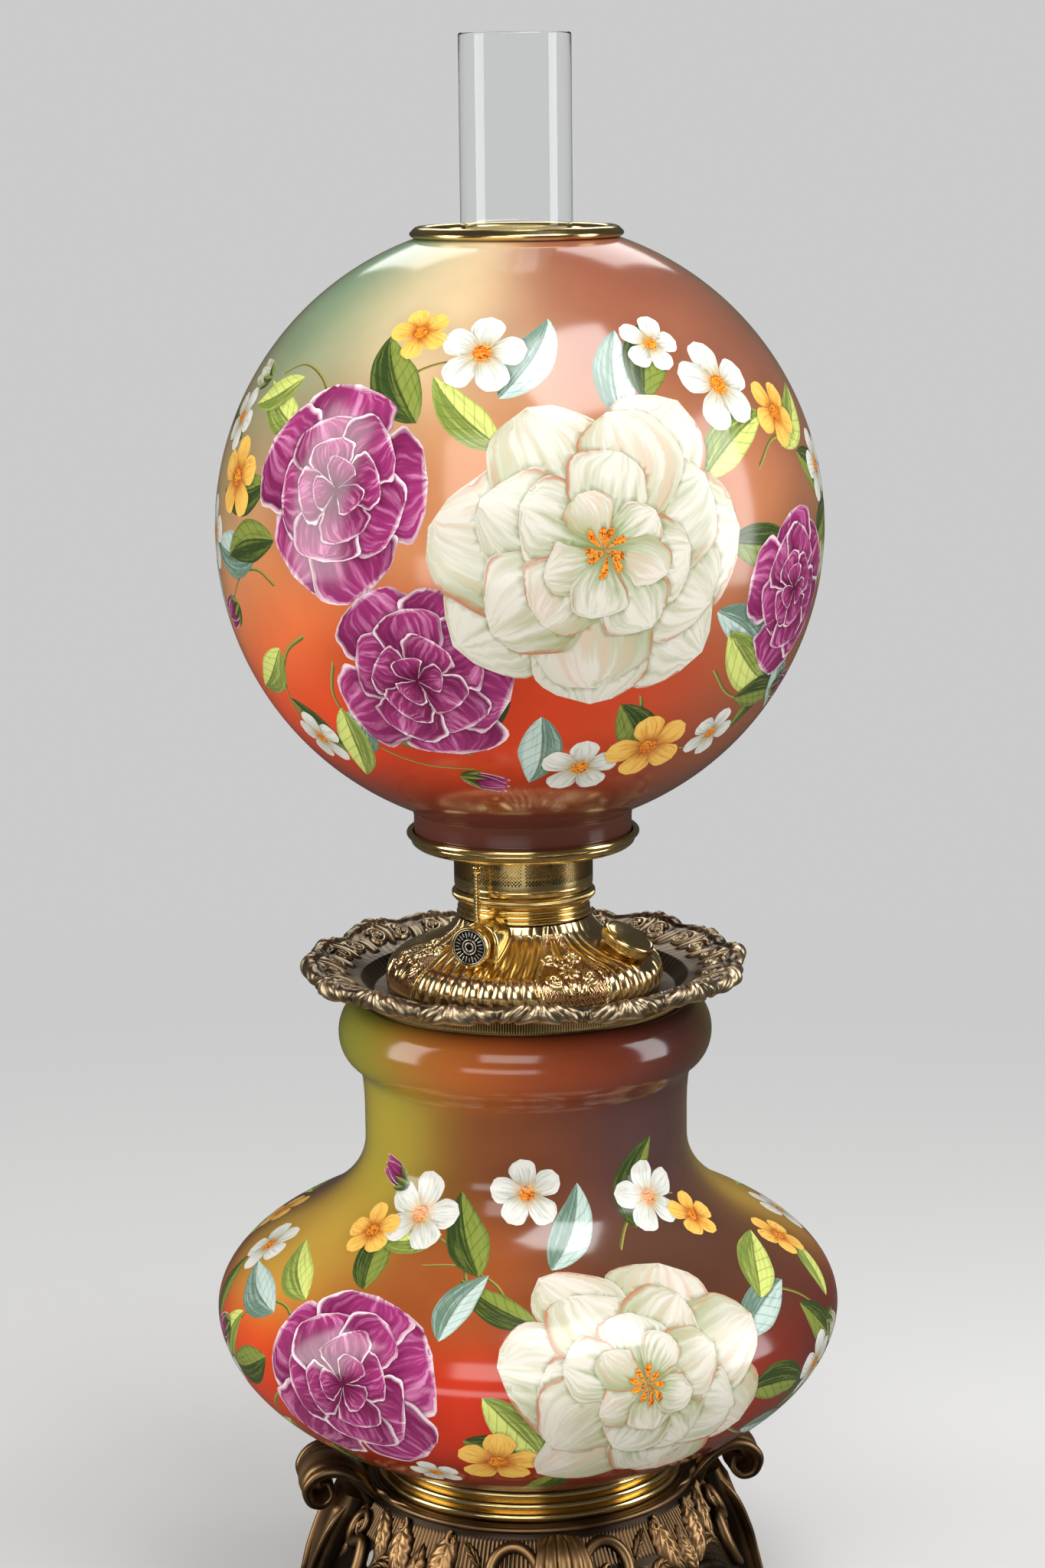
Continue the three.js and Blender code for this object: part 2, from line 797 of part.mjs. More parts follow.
function fontDome() {
  const inside = domeOutside
    .filter((_, i) => i % 2 === 1)
    .map(([r, z]) => [r - domeWall, z - domeWall])
    .reverse();
  const tubeHole = tubeFlangeRadius - 2 * domeWall;
  const shell = turned([
    [domeLipBore, domeBottom],
    [domeEdge, domeBottom],
    ...domeOutside,
    [tubeHole, domeTop],
    [tubeHole, domeTop - domeWall],
    [domeNeckRadius - domeWall, domeTop - domeWall],
    ...inside,
    [domeEdge - domeWall, domeBottom + domeWall],
    [domeLipBore, domeBottom + domeWall],
  ]);
  const fillerCut = fillerNeckRise + cutOverrun;
  const fillerHole = bar(fillerNeckRadius + seatGap, -fillerCut, fillerCut, mediumSides);
  const rackHole = bar(rackRadius + slideGap, domeBottom + 2 * domeWall, domeTop + cutOverrun);
  rackHole.translate(-rackOffset, -pinionReach, 0).rotateZ(raiserTurn);
  const pocket = alongShaft(
    bar(pinionPocket, pinionReach - pinionWidth, pinionReach + pinionWidth),
  ).rotateZ(raiserTurn);
  return cut(shell, toFiller(fillerHole), rackHole, pocket);
}

// Wick raiser sizes that several pieces share
const pinionPocket = pitchRadius + pinionAddendum + slideGap;
function alongShaft(geometry) {
  geometry.rotateX(Math.PI / 2);
  return geometry.translate(0, 0, shaftHeight);
}
piece(font, "font_dome", fontDome(), polishedBrass);

function fontBowl() {
  const hole = draftTubeRadius + seatGap;
  const top = domeBottom + bowlTopRise;
  const corner = (grow) =>
    steps(cornerSteps).map((t) => {
      const angle = (t * Math.PI) / 2;
      const radius = bowlRound - grow;
      return [
        bowlRadius - bowlRound + radius * Math.sin(angle),
        bowlBottom + bowlRound - radius * Math.cos(angle),
      ];
    });
  return turned(
    [
      [hole, bowlBottom],
      ...corner(0),
      [bowlRadius, top],
      [bowlRadius - bowlWall, top],
      ...corner(bowlWall).reverse(),
      [hole, bowlBottom + bowlWall],
    ],
    mediumSides,
  );
}
piece(font, "font_bowl", fontBowl(), sheetBrass);

const draftBore = draftTubeRadius - tubeWall;
piece(
  font,
  "draft_tube",
  tube(draftBore, draftTubeRadius, bowlBottom - draftTubeDrop, wickTubeTop, mediumSides),
  sheetBrass,
);

const wickTubeRadius = wickTubeBore + tubeWall;
const wickTubeBottom = domeTop - wickTubeDrop;
piece(
  font,
  "wick_tube",
  turned(
    [
      [wickTubeBore, wickTubeBottom],
      [wickTubeRadius, wickTubeBottom],
      [wickTubeRadius, collarBottom],
      [tubeFlangeRadius, collarBottom],
      [tubeFlangeRadius, collarBottom + tubeFlangeThickness],
      [wickTubeRadius, collarBottom + tubeFlangeThickness],
      [wickTubeRadius, wickTubeTop],
      [wickTubeBore, wickTubeTop],
    ],
    mediumSides,
  ),
  sheetBrass,
);

function burnerCollar() {
  const stepHeight = collarHeight / collarStepCount;
  const beads = steps(collarStepCount).slice(0, -1).flatMap((share) => {
    const bottom = collarBottom + share * collarHeight;
    return bead(domeNeckRadius - collarBeadBulge, collarBeadBulge, bottom, bottom + stepHeight);
  });
  const bore = domeNeckRadius - collarBeadBulge - collarWall;
  return turned([[bore, collarBottom], ...beads, [bore, collarTop]], mediumSides);
}
piece(font, "burner_collar", burnerCollar(), polishedBrass);

// Burner: knurled ring, pierced basket, deck and the prongs that hold the chimney
const basketBore = basketRadius - basketWall;
const knurledBulge = knurledRadius - basketRadius;
piece(
  burner,
  "knurled_ring",
  turned(
    [
      [basketBore - collarWall, knurledBottom],
      ...bead(basketRadius, knurledBulge, knurledBottom, knurledTop),
      [basketBore - collarWall, knurledTop],
    ],
    mediumSides,
  ),
  polishedBrass,
);
piece(
  burner,
  "basket",
  turned(
    [
      [basketBore - collarWall, basketBottom],
      [basketRadius, basketBottom],
      [basketRadius, basketTop - basketWall],
      [basketFlangeRadius, basketTop - basketWall],
      [basketFlangeRadius, basketTop],
      [basketBore, basketTop],
      [basketBore, basketBottom + basketWall],
      [basketBore - collarWall, basketBottom + basketWall],
    ],
    mediumSides,
  ),
  polishedBrass,
);
piece(
  burner,
  "burner_deck",
  tube(deckHoleRadius, basketBore - seatGap, deckTop - deckThickness, deckTop, mediumSides),
  sheetBrass,
);

function chimneyProngs() {
  const bore = chimneyBaseRadius + seatGap;
  const top = chimneyBottom + prongHeight;
  const ring = tube(bore, bore + prongThickness, chimneyBottom, top, mediumSides);
  const tools = steps(prongCount).slice(1).map((share) => {
    const slot = new THREE.BoxGeometry(2 * cutOverrun, prongSlotWidth, prongHeight);
    slot.translate(bore, 0, chimneyBottom + prongHeight * (prongBandShare + 0.5));
    return slot.rotateZ(share * 2 * Math.PI);
  });
  return cut(ring, ...tools);
}
piece(burner, "chimney_prongs", chimneyProngs(), sheetBrass);

// Shade holder: a shelf on the basket's flange and a flared wall with a rolled rim
function shadeHolder() {
  const top = holderBottom + holderHeight;
  const shelfTop = holderBottom + holderShelf;
  const foot = holderRadius - holderTaper - holderWall;
  const rimTop = top - 2 * holderWall;
  return turned([
    [holderHoleRadius, holderBottom],
    [foot, holderBottom],
    [foot + holderWall, shelfTop],
    [holderRadius - holderWall, rimTop],
    ...bead(holderRadius - holderWall, holderWall, rimTop, top),
    [holderRadius - holderWall - seatGap, top],
    [shadeNeckRadius + seatGap, rimTop],
    [shadeNeckRadius + seatGap, shelfTop],
    [holderHoleRadius, shelfTop],
  ]);
}
piece(burner, "shade_ring", shadeHolder(), polishedBrass);

// Ball shade: a straight neck below and a round opening above
function arcOf(radius, fromReach, toReach, count) {
  const from = -Math.acos(fromReach / radius);
  const to = Math.acos(toReach / radius);
  return steps(count).map((t) => {
    const angle = between(from, to, t);
    return [radius * Math.cos(angle), shadeCentre + radius * Math.sin(angle)];
  });
}
function shadeGlobe() {
  const neckBore = shadeNeckRadius - shadeWall;
  const inner = shadeRadius - shadeWall;
  return turned([
    [neckBore, shadeBottom],
    [shadeNeckRadius, shadeBottom],
    ...arcOf(shadeRadius, shadeNeckRadius, shadeTopRadius, shadeOutsideSteps),
    ...arcOf(inner, neckBore, shadeTopRadius, shadeInsideSteps).reverse(),
  ]);
}
piece(burner, "shade_globe", shadeGlobe(), shadeGlass);

function shadeTrimRing() {
  const surface = (r) => shadeCentre + Math.sqrt(shadeRadius ** 2 - r ** 2) + seatGap;
  const skirtOut = shadeTopRadius - slideGap;
  const skirtIn = skirtOut - trimBoreWall;
  const low = surface(shadeTopRadius);
  const top = low + trimRise;
  return turned([
    [skirtIn, low - trimSkirtDepth],
    [skirtOut, low - trimSkirtDepth],
    [skirtOut, low],
    [shadeTopRadius, low],
    [trimReach - trimBoreWall, surface(trimReach - trimBoreWall)],
    ...bead(trimReach - trimBoreWall, trimBoreWall, surface(trimReach - trimBoreWall), top),
    [between(skirtIn, trimReach, 0.5), top + trimBoreWall / 4],
    [skirtIn, low + trimRise / 2],
  ]);
}
piece(burner, "shade_trim_ring", shadeTrimRing(), polishedBrass);

// Chimney: a straight base, a bulge at the flame and a long plain tube
function chimneyGlass() {
  const wave = (from, to, low, high) =>
    steps(curveSteps).map((t) => [
      between(from, to, 0.5 - 0.5 * Math.cos(Math.PI * t)),
      chimneyBottom + between(low, high, t),
    ]);
  const rise = wave(chimneyBaseRadius, chimneyBulgeRadius, chimneyBaseHeight, chimneyBulgeHeight);
  const fall = wave(chimneyBulgeRadius, chimneyRadius, chimneyBulgeHeight, chimneyShoulderHeight);
  const outside = [
    [chimneyBaseRadius, chimneyBottom],
    ...rise,
    ...fall.slice(1),
    [chimneyRadius, chimneyBottom + chimneyLength],
  ];
  const last = outside.length - 1;
  const inside = outside
    .filter((_, i) => i === 0 || i === last || i % 2 === 1)
    .map(([r, z]) => [r - chimneyWall, z])
    .reverse();
  return turned([...outside, ...inside], mediumSides);
}
piece(burner, "chimney", chimneyGlass(), clearGlass);

// Flame spreader: a thimble whose stem hangs in the draft tube, and the disc on top of it
const spreaderSeat = wickTubeTop + seatGap;
const spreaderTop = spreaderSeat + spreaderRise;
function spreaderThimble() {
  const stem = draftBore - slideGap;
  const bore = stem - spreaderStemWall;
  const flareBottom = spreaderSeat + wickShowing + spreaderBead;
  return turned(
    [
      [bore, spreaderSeat - spreaderStemDepth],
      [stem, spreaderSeat - spreaderStemDepth],
      [stem, spreaderSeat],
      [draftTubeRadius, spreaderSeat],
      [draftTubeRadius, spreaderSeat + spreaderBead],
      [stem, spreaderSeat + 2 * spreaderBead],
      [stem, flareBottom],
      [spreaderFlareRadius, spreaderTop],
      [spreaderFlareRadius - spreaderStemWall, spreaderTop],
      [bore, flareBottom],
    ],
    mediumSides,
  );
}
piece(burner, "spreader_thimble", spreaderThimble(), sheetBrass);
const discBottom = spreaderTop + seatGap;
const discTop = discBottom + spreaderDiscThickness;
piece(
  burner,
  "spreader_disc",
  turned(
    [
      [0, discBottom],
      [spreaderDiscRadius, discBottom],
      [spreaderDiscRadius, between(discBottom, discTop, 0.5)],
      [spreaderFlareRadius, discTop],
      [0, discTop + spreaderDiscThickness / 2],
    ],
    mediumSides,
  ),
  sheetBrass,
);

// Wick raiser: every piece is made facing the front, and the group turns it to its side
const raiser = new THREE.Group();
raiser.rotation.z = raiserTurn;
font.add(raiser);

// A toothed wheel's outline with a bore, with one tooth's middle on the -x side
function pinionShape() {
  const root = pitchRadius - rackDedendum;
  const tip = pitchRadius + pinionAddendum;
  const half = (toothPitch / 4 - toothBacklash / 2) / pitchRadius;
  const lean = Math.tan(pressureAngle) / pitchRadius;
  const rootHalf = half + lean * rackDedendum * rootLeanShare;
  const tipHalf = half - lean * pinionAddendum * tipLeanShare;
  const outline = [];
  for (let i = 0; i < pinionTeeth; i++) {
    const middle = Math.PI + (i / pinionTeeth) * 2 * Math.PI;
    const corners = [[root, -rootHalf], [pitchRadius, -half], [tip, -tipHalf]];
    const mirrored = corners.map(([r, a]) => [r, -a]).reverse();
    for (const [radius, turn] of [...corners, ...mirrored]) {
      outline.push([radius * Math.cos(middle + turn), radius * Math.sin(middle + turn)]);
    }
  }
  const shape = shapeOf(outline);
  const bore = new THREE.Path();
  bore.absarc(0, 0, shaftRadius + seatGap, 0, Math.PI * 2, true);
  shape.holes.push(bore);
  return shape;
}
const drivePinion = plateOf(pinionShape(), pinionWidth);
drivePinion.translate(0, -pinionReach, shaftHeight);
piece(raiser, "drive_pinion", drivePinion, steel);

const knobFront = knobBack + knobThickness;
const knobBoreTop = knobBack + knobThickness / 2;
const knobFloor = knobFront - knobFaceDepth;
piece(
  raiser,
  "pinion_shaft",
  alongShaft(bar(shaftRadius, pinionReach - pinionWidth / 2, knobBoreTop - seatGap)),
  steel,
);

// Rack: a rod with teeth on the side that faces the pinion
const rackTop = domeTop + rackTopRise - ballRadius - seatGap;
const rackBottom = rackTop - rackLength;
function rackRod() {
  const rod = bar(rackRadius, rackBottom, rackTop);
  rod.translate(-rackOffset, -pinionReach, 0);
  const pitchLine = -pitchRadius;
  const valley = pitchLine - rackDedendum;
  const face = pitchLine + pinionAddendum + rackRadius;
  const flank = Math.tan(pressureAngle);
  const half = toothPitch / 4 + toothBacklash / 2;
  const faceHalf = half + flank * pinionAddendum;
  const valleyHalf = half - flank * rackDedendum;
  const reach = Math.ceil(pitchRadius / toothPitch);
  const count = Math.floor((rackTop - shaftHeight) / toothPitch - 0.5);
  const mouth = pitchLine + pinionAddendum;
  const outline = [[face, shaftHeight - (reach + 0.5) * toothPitch]];
  for (let i = -reach; i <= count; i++) {
    const z = shaftHeight + i * toothPitch;
    outline.push([mouth, z - faceHalf], [valley, z - valleyHalf]);
    outline.push([valley, z + valleyHalf], [mouth, z + faceHalf]);
  }
  outline.push([face, shaftHeight + (count + 0.5) * toothPitch]);
  const comb = plateOf(shapeOf(outline), 2 * rackRadius + cutOverrun);
  comb.translate(0, -pinionReach, 0);
  return cut(rod, comb);
}
piece(raiser, "rack_rod", rackRod(), polishedBrass);

const rackBall = new THREE.SphereGeometry(ballRadius, smallSides, holeSides);
rackBall.rotateX(Math.PI / 2);
rackBall.translate(-rackOffset, -pinionReach, domeTop + rackTopRise);
piece(raiser, "rack_ball", rackBall, polishedBrass);

// Arm from the rod's lower end to the carrier round the wick
const armBottom = rackBottom + armRise;
const armTop = armBottom + armThickness;
const carrierBore = wickOutside + seatGap;
const carrierRadius = carrierBore + carrierWall;
function carrierArm() {
  const from = carrierRadius + seatGap;
  const to = Math.hypot(rackOffset, pinionReach);
  const turn = -Math.atan2(rackOffset, pinionReach);
  const barPiece = new THREE.BoxGeometry(armWidth, to, armThickness);
  barPiece.translate(0, -to / 2, armBottom + armThickness / 2);
  barPiece.rotateZ(turn);
  const eye = bar(armWidth / 2 + seatGap, armBottom, armTop);
  eye.translate(-rackOffset, -pinionReach, 0);
  const hole = bar(rackRadius + seatGap, armBottom - cutOverrun, armTop + cutOverrun);
  hole.translate(-rackOffset, -pinionReach, 0);
  const middle = bar(from, armBottom - cutOverrun, armTop + cutOverrun, mediumSides);
  return cut(join(barPiece, eye), hole, middle);
}
piece(raiser, "carrier_arm", carrierArm(), sheetBrass);
const carrierBottom = armBottom - carrierDrop;
piece(
  raiser,
  "wick_carrier",
  tube(carrierBore, carrierRadius, carrierBottom, carrierBottom + carrierHeight, mediumSides),
  sheetBrass,
);
const wickTop = wickTubeTop + wickShowing;
piece(
  raiser,
  "wick",
  tube(wickInside, wickOutside, wickTop - wickLength, wickTop, mediumSides),
  cotton,
);

// Gear case: a round-topped box that sits on the dome's slope
function gearCase() {
  const shape = new THREE.Shape();
  shape.moveTo(-caseHalfWidth, shaftHeight - caseDrop);
  shape.lineTo(caseHalfWidth, shaftHeight - caseDrop);
  shape.absarc(0, shaftHeight, caseHalfWidth, 0, Math.PI);
  const block = plateOf(shape, caseDepth);
  block.translate(0, caseDepth / 2 - caseFront, 0);
  const collarRoom = bar(domeNeckRadius + seatGap, domeTop, collarTop + caseHalfWidth, largeSides);
  const rackHole = bar(rackRadius + slideGap, domeBottom, collarTop + caseHalfWidth);
  rackHole.translate(-rackOffset, -pinionReach, 0);
  const inside = pinionReach + pinionWidth / 2 + seatGap;
  const pocket = alongShaft(bar(pinionPocket, pinionReach - pinionWidth, inside));
  const shaftHole = alongShaft(bar(shaftRadius + slideGap, pinionReach, caseFront + cutOverrun));
  return cut(block, domeBlock(seatGap), collarRoom, rackHole, pocket, shaftHole);
}
piece(raiser, "gear_case", gearCase(), polishedBrass);

function shaftBush() {
  const from = caseFront + seatGap;
  const to = knobBack - seatGap;
  return alongShaft(
    cut(
      bar(bushRadius, from, to),
      bar(shaftRadius + slideGap, from - cutOverrun, to + cutOverrun),
    ),
  );
}
piece(raiser, "shaft_bush", shaftBush(), sheetBrass);

// Knob: a brass cup with a blackened face
function wickKnob() {
  const bore = shaftRadius + seatGap;
  return alongShaft(
    turned(
      [
        [0, knobBoreTop],
        [bore, knobBoreTop],
        [bore, knobBack],
        [knobRadius - knobRim, knobBack],
        [knobRadius, knobBack + knobRim],
        [knobRadius, knobFront - knobRim],
        [knobRadius - knobRim / 2, knobFront],
        [knobRadius - knobRim, knobFront],
        [knobRadius - knobRim, knobFloor],
        [0, knobFloor],
      ],
      mediumSides,
    ),
  );
}
piece(raiser, "wick_knob", wickKnob(), polishedBrass);
const faceBack = knobFloor + seatGap;
piece(
  raiser,
  "knob_face",
  alongShaft(
    turned(
      [
        [0, faceBack],
        [knobRadius - knobRim - seatGap, faceBack],
        [knobRadius - knobRim - seatGap, knobFront],
        [knobBossRadius, knobFront],
        [knobBossRadius, knobFront + knobBossRise],
        [0, knobFront + knobBossRise],
      ],
      mediumSides,
    ),
  ),
  blackened,
);

// Filler on the right of the dome, tilted with its slope
const fillerSide = new THREE.Group();
fillerSide.rotation.z = fillerTurn;
const filler = new THREE.Group();
filler.position.set(0, -fillerReach, fillerHeight);
filler.rotation.x = fillerTilt;
fillerSide.add(filler);
font.add(fillerSide);

const fillerBore = fillerNeckRadius - fillerNeckWall;
piece(
  filler,
  "filler_neck",
  tube(fillerBore, fillerNeckRadius, -fillerNeckDrop, fillerNeckRise, mediumSides),
  sheetBrass,
);
const gasketBottom = fillerNeckRise + seatGap;
const gasketTop = gasketBottom + gasketThickness;
piece(
  filler,
  "filler_gasket",
  tube(fillerBore, fillerNeckRadius, gasketBottom, gasketTop, mediumSides),
  cork,
);
const capInside = gasketTop + seatGap;
const capTop = capInside + capTopThickness;
const capBottom = capTop - capHeight;
piece(
  filler,
  "filler_cap",
  turned(
    [
      [0, capInside],
      [fillerNeckRadius + slideGap, capInside],
      [fillerNeckRadius + slideGap, capBottom],
      [capRadius - capCrown, capBottom],
      [capRadius, capBottom + capCrown],
      [capRadius, capTop - capCrown],
      [capRadius - capCrown, capTop],
      [0, capTop + capCrown],
    ],
    mediumSides,
  ),
  polishedBrass,
);

export default lamp;
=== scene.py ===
import json
import math

import bpy
import numpy as np
from mathutils import Matrix, Quaternion, Vector
from mathutils.geometry import delaunay_2d_cdt


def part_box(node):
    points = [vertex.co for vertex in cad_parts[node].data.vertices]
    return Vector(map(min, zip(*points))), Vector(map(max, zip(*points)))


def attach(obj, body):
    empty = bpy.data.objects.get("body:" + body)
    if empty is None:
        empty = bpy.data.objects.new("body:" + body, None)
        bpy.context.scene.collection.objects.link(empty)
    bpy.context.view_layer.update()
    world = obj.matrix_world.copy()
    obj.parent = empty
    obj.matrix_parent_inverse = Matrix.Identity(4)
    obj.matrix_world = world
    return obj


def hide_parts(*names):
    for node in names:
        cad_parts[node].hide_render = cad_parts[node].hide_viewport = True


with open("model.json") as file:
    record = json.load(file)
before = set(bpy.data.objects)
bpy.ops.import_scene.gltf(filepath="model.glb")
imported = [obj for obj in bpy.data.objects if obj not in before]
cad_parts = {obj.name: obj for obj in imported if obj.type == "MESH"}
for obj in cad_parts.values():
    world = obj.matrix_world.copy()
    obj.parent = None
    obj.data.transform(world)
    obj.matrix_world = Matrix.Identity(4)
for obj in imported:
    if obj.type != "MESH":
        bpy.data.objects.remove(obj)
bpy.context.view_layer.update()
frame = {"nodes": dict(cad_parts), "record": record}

# Lengths are in millimetres until a mesh is made. Angles round the lamp are counted in
# degrees from the front (-Y) towards the right.
MM = 0.001
joint_gap = 0.3  # between pieces that are seated on one another
rng = np.random.default_rng(11)

# The body that each CAD node rides, and its material slot
body_of = {node: body for body, nodes in frame["record"]["behaviour"]["bodies"].items() for node in nodes}
slot_of = {part["node"]: part["material_slot"] for part in frame["record"]["subparts"]}


def ends(node):
    """The heights of a CAD node's lowest and highest points."""
    return tuple(corner.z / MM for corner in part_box(node))


def offset(angle, middle, turn=360):
    """How far an angle is from the nearest middle, where one comes in each turn."""
    return (angle - middle + turn / 2) % turn - turn / 2


# Camera
camera = bpy.data.objects.new("camera", bpy.data.cameras.new("camera"))
camera.data.lens = 80.9
camera.data.sensor_width = 36
camera.location = (0, -1.585, 0.725)
camera.rotation_mode = "QUATERNION"
look_down, roll = 11.07, -0.61
camera.rotation_quaternion = (Quaternion((1, 0, 0), math.radians(90 - look_down))
                              @ Quaternion((0, 0, 1), math.radians(roll)))
bpy.context.scene.collection.objects.link(camera)
bpy.context.scene.camera = camera
bpy.context.scene.view_settings.view_transform = "Standard"


# Material helpers
def linear(colour):
    """A colour of three values from 0 to 255 on a screen, in the renderer's linear values."""
    return tuple(((c / 255 + 0.055) / 1.055) ** 2.4 if c > 10 else c / 255 / 12.92 for c in colour) + (1.0,)


class Nodes:
    """A node tree, its last shader, and short ways to add nodes. A colour of three values is a screen's."""

    def __init__(self, owner, shader):
        owner.use_nodes = True
        self.owner, self.tree = owner, owner.node_tree
        self.shader = self.tree.nodes[shader]

    def put(self, node, values):
        for key, value in values.items():
            if isinstance(value, bpy.types.NodeSocket):
                self.tree.links.new(value, node.inputs[key])
            else:
                screen = isinstance(value, tuple) and len(value) == 3
                node.inputs[key].default_value = linear(value) if screen else value

    def add(self, kind, values=None, out=0, **settings):
        node = self.tree.nodes.new("ShaderNode" + kind)
        for key, value in settings.items():
            setattr(node, key, value)
        self.put(node, values or {})
        return node.outputs[out]

    def set(self, **values):
        self.put(self.shader, {k.replace("_", " "): v for k, v in values.items()})

    def math(self, operation, a, b=0.0, clamp=False):
        return self.add("Math", {0: a, 1: b}, operation=operation, use_clamp=clamp)

    def plus(self, a, b, clamp=False):
        return self.math("ADD", a, b, clamp)

    def times(self, a, b):
        return self.math("MULTIPLY", a, b)

    def mix(self, share, a, b, blend="MIX"):
        return self.add("Mix", {0: share, 6: a, 7: b}, out=2, data_type="RGBA", blend_type=blend)

    def spread(self, value, low_in, high_in, low_out=0.0, high_out=1.0):
        return self.add("MapRange", {0: value, 1: low_in, 2: high_in, 3: low_out, 4: high_out})

    def mirrored(self):
        """1 for what is seen in a mirror and not through glass; the stage and the world alone use it."""
        return self.times(self.add("LightPath", out="Is Glossy Ray"),
                          self.math("SUBTRACT", 1.0, self.add("LightPath", out="Is Transmission Ray")))


class Finish(Nodes):
    """A material with one principled surface."""

    def __init__(self, name, **values):
        super().__init__(bpy.data.materials.new(name), "Principled BSDF")
        self.set(**values)
        self.coords = self.add("TexCoord", out="Object")

    def noise(self, scale, detail=3.0, coords=None):
        return self.add("TexNoise", {"Vector": coords or self.coords, "Scale": scale, "Detail": detail})

    def attribute(self, name, out="Fac"):
        return self.add("Attribute", out=out, attribute_name=name)

    def bump(self, height, strength, distance):
        """Adds a bump and gives the finished material."""
        self.set(Normal=self.add("Bump", {"Height": height, "Strength": strength, "Distance": distance}))
        return self.owner


def metal(name, dark, bright, rough, rubbed_and_shaded=(0.35, 0.75), grain=0.02, wear=0.35):
    """A metal that is darker in its hollows and brighter on its crests: partly patina and rubbed wear, partly
    painted shade in the hollows.
    """
    f = Finish(name, Metallic=1.0)
    blotch, fine = f.noise(38, 4), f.noise(900, 3)
    crest = f.plus(f.attribute("crest"), f.times(f.math("SUBTRACT", blotch, 0.5), wear))
    # Low crest values take the dark colour: patina in the hollows, with painted shade there as well
    f.set(Base_Color=f.mix(f.spread(crest, *rubbed_and_shaded), dark, bright),
          Roughness=f.plus(f.spread(blotch, 0.3, 0.7, *rough), f.times(fine, 0.05)))
    return f.bump(fine, grain, 0.0002)


def mottled(name, pale, dark, rough, scale, depth):
    """A dull or pale material, clouded in colour and roughness, with a grain of the given depth."""
    f = Finish(name)
    cloud = f.noise(scale, 4)
    f.set(Base_Color=f.mix(f.spread(cloud, 0.35, 0.7), pale, dark),
          Roughness=f.spread(cloud, 0.3, 0.7, rough - 0.06, rough + 0.05))
    return f.bump(f.noise(scale * 8, 3), depth, 0.0003)


# Metals: dark and bright colours, roughness, how far the crests are rubbed bright and the hollows get painted
# shade, grain and wear
finishes = {name: metal(name, *values) for name, values in {
    "polished_brass": ((176, 146, 88), (230, 204, 140), (0.1, 0.2), (0.35, 0.75), 0.01),
    "plain_brass": ((138, 106, 56), (206, 170, 100), (0.22, 0.36)),
    "dome_brass": ((178, 136, 98), (232, 206, 150), (0.12, 0.24), (0.15, 0.6)),
    "cast_brass": ((58, 47, 38), (186, 146, 100), (0.3, 0.46), (0.35, 1.0), 0.12, 0.6),
    "crown_bronze": ((44, 34, 26), (196, 174, 140), (0.24, 0.42), (0.3, 0.95), 0.08, 0.5),
    "band_brass": ((74, 58, 34), (160, 132, 84), (0.3, 0.45), (0.2, 0.9), 0.05),
    "steel": ((96, 96, 100), (150, 150, 154), (0.35, 0.5)),
    "blackened": ((22, 19, 17), (34, 31, 28), (0.4, 0.55)),
    "silvered": ((120, 112, 100), (214, 206, 190), (0.2, 0.3)),
}.items()}
finishes["embossed_brass"] = finishes["dome_brass"]
# The others: pale and dark colours, roughness, and the scale and depth of the grain
finishes |= {name: mottled(name, *values) for name, values in {
    "cork": ((158, 120, 80), (108, 76, 48), 0.88, 260, 0.3),
    "plaster": ((218, 212, 200), (196, 188, 172), 0.9, 120, 0.2),
    "cotton": ((228, 220, 202), (198, 186, 164), 0.92, 400, 0.4),
    "opal": ((240, 236, 226), (232, 226, 212), 0.25, 22, 0.02),
    "bare_clay": ((230, 222, 206), (212, 202, 184), 0.4, 40, 0.05),
}.items()}
old_glass = Finish("clear_glass", Base_Color=(0.98, 0.99, 0.985, 1), Roughness=0.0, IOR=1.45,
                   Transmission_Weight=1.0)
finishes["clear_glass"] = old_glass.bump(old_glass.noise(30, 2), 0.08, 0.0004)


# Mesh helpers
def pieced(rows, columns, wrap_rows=False, wrap_columns=True):
    """The four-sided faces of a grid of rows by columns points."""
    i = np.arange(rows if wrap_rows else rows - 1)
    j = np.arange(columns if wrap_columns else columns - 1)
    i, j = (m.ravel() for m in np.meshgrid(i, j, indexing="ij"))
    up, right = (i + 1) % rows, (j + 1) % columns
    corners = np.stack([i * columns + j, i * columns + right, up * columns + right, up * columns + j], 1)
    return [tuple(f) for f in corners.tolist()]


def closed(rows, columns):
    """The faces of a tube of rows by columns points, with a flat face at each end."""
    last = (rows - 1) * columns
    return pieced(rows, columns) + [tuple(range(columns))[::-1], tuple(last + k for k in range(columns))]


def around(radius, angle, height):
    """Points from a radius, an angle in degrees and a height."""
    a = np.radians(angle)
    return np.stack(np.broadcast_arrays(radius * np.sin(a), -radius * np.cos(a), height), -1).reshape(-1, 3)


def run(line):
    """The length along a line, at each of its points."""
    return np.concatenate([[0], np.cumsum(np.linalg.norm(np.diff(line, axis=0), axis=1))])


def heading(line):
    """The direction of a line at each of its points, with the length 1."""
    along = np.gradient(line, axis=0)
    return along / np.maximum(np.linalg.norm(along, axis=1), 1e-9)[:, None]


def curve(start, corner, end, shares):
    """Points on a curve from start to end that is drawn towards a corner."""
    start, corner, end = (np.array(p, float) for p in (start, corner, end))
    return [(1 - t) ** 2 * start + 2 * t * (1 - t) * corner + t**2 * end for t in shares]


